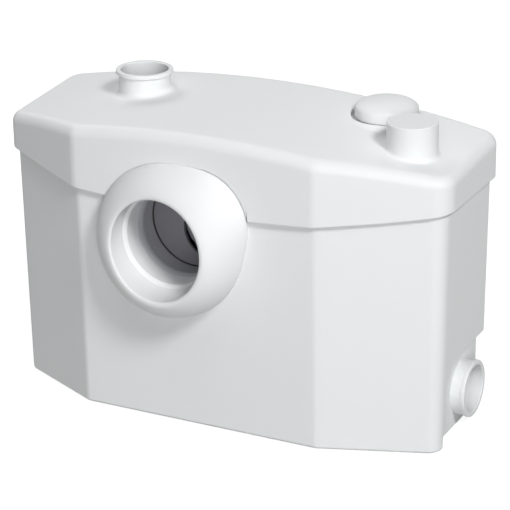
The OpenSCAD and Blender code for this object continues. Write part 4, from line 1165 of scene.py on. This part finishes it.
FLOOR_SIDE = 30.0
FLOOR_DROP = 0.0002
LIGHT_AWAY = 4.0
LIGHT_AIM = Vector((0, 0, 0.13))

# One clear light from the right, soft ones low in front and others behind for the top:
# name, azimuth, elevation, size and power of each
LIGHTS = [
    ("key", 54, 41, 0.8, 94.0),
    ("low_right", 26, 8, 1.8, 68.0),
    ("low_front", 8, 8, 1.8, 9.0),
    ("high_front", 5, 60, 1.8, 17.0),
    ("back", 180, 45, 1.8, 17.0),
    ("back_left", -120, 40, 1.8, 48.0),
]

# Camera fitted to the photograph
SENSOR = 36.0
FOCAL_LENGTH = 155.29
CAMERA_AIM = Vector((0.01340, 0, 0.13135))
CAMERA_SIDE = Vector((0.42048, -0.82883, 0.36910))
CAMERA_AWAY = 1.8329
CAMERA_ROLL = -0.743


def seen_rays(tree):
    """1 for rays that show the background: straight from the camera, off a gloss or through glass."""
    path = node(tree, "ShaderNodeLightPath")
    total = path.outputs["Is Camera Ray"]
    for kind in ("Is Glossy Ray", "Is Transmission Ray"):
        both = node(tree, "ShaderNodeMath", {0: total, 1: path.outputs[kind]}, use_clamp=True)
        total = both.outputs[0]
    return total


def seen_or_dim(tree, dim, seen):
    """A mix that shows one shader to the rays that see the background and the other to the rest."""
    links = {0: seen_rays(tree), 1: dim.outputs[0], 2: seen.outputs[0]}
    return node(tree, "ShaderNodeMixShader", links).outputs[0]


def floor_look():
    """White with a faint shadow to the camera, and dim to the light that it throws back."""
    made = bpy.data.materials.new("floor_white")
    made.use_nodes = True
    tree = made.node_tree
    tree.nodes.clear()
    dim = node(tree, "ShaderNodeBsdfDiffuse", {"Color": (0.3, 0.3, 0.3, 1.0)})
    lit = node(tree, "ShaderNodeBsdfDiffuse", {"Color": (0.34, 0.34, 0.34, 1.0)})
    glow = node(tree, "ShaderNodeEmission", {"Color": (1.0, 1.0, 1.0, 1.0), "Strength": 0.85})
    seen = node(tree, "ShaderNodeAddShader", {0: lit.outputs[0], 1: glow.outputs[0]})
    node(tree, "ShaderNodeOutputMaterial", {"Surface": seen_or_dim(tree, dim, seen)})
    return made


def build_floor():
    """Wide floor just below the feet."""
    mesh = bpy.data.meshes.new("floor")
    corners = [(-1, -1), (1, -1), (1, 1), (-1, 1)]
    mesh.from_pydata([(FLOOR_SIDE * x, FLOOR_SIDE * y, 0) for x, y in corners], [], [(0, 1, 2, 3)])
    made = bpy.data.objects.new("floor", mesh)
    made.location = (0, 0, -FLOOR_DROP)
    bpy.context.scene.collection.objects.link(made)
    mesh.materials.append(floor_look())


def area_light(name, azimuth, elevation, size, power):
    """Soft light on a sphere round the object, facing its middle; azimuth 0 is in front."""
    data = bpy.data.lights.new(name, "AREA")
    data.shape = "SQUARE"
    data.size = size
    data.energy = power
    made = bpy.data.objects.new(name, data)
    a, e = math.radians(azimuth), math.radians(elevation)
    back = Vector((math.sin(a) * math.cos(e), -math.cos(a) * math.cos(e), math.sin(e)))
    made.location = LIGHT_AIM + back * LIGHT_AWAY
    made.rotation_euler = back.to_track_quat("Z", "Y").to_euler()
    bpy.context.scene.collection.objects.link(made)


def build_world():
    """White to the camera and nearly dark to the light."""
    world = bpy.data.worlds.new("studio")
    bpy.context.scene.world = world
    world.use_nodes = True
    tree = world.node_tree
    tree.nodes.clear()
    dim = node(tree, "ShaderNodeBackground", {"Color": (0.9, 0.95, 1.0, 1.0), "Strength": 0.02})
    plain = node(tree, "ShaderNodeBackground", {"Color": (1, 1, 1, 1), "Strength": 1.0})
    node(tree, "ShaderNodeOutputWorld", {"Surface": seen_or_dim(tree, dim, plain)})


def build_camera():
    """Camera that looks at its aim from CAMERA_SIDE, rolled a little."""
    lens = bpy.data.cameras.new("camera")
    lens.sensor_width = SENSOR
    lens.lens = FOCAL_LENGTH
    lens.clip_start = 0.05
    lens.clip_end = 40.0
    made = bpy.data.objects.new("camera", lens)
    back = CAMERA_SIDE.normalized()
    right = Vector((0, 0, 1)).cross(back).normalized()
    up = back.cross(right)
    roll = math.radians(CAMERA_ROLL)
    side = right * math.cos(roll) + up * math.sin(roll)
    rise = up * math.cos(roll) - right * math.sin(roll)
    turn = Matrix((side, rise, back)).transposed().to_4x4()
    made.matrix_world = Matrix.Translation(CAMERA_AIM + back * CAMERA_AWAY) @ turn
    bpy.context.scene.collection.objects.link(made)
    bpy.context.scene.camera = made


build_floor()
for light in LIGHTS:
    area_light(*light)
build_world()
build_camera()
bpy.context.scene.view_settings.view_transform = "Standard"
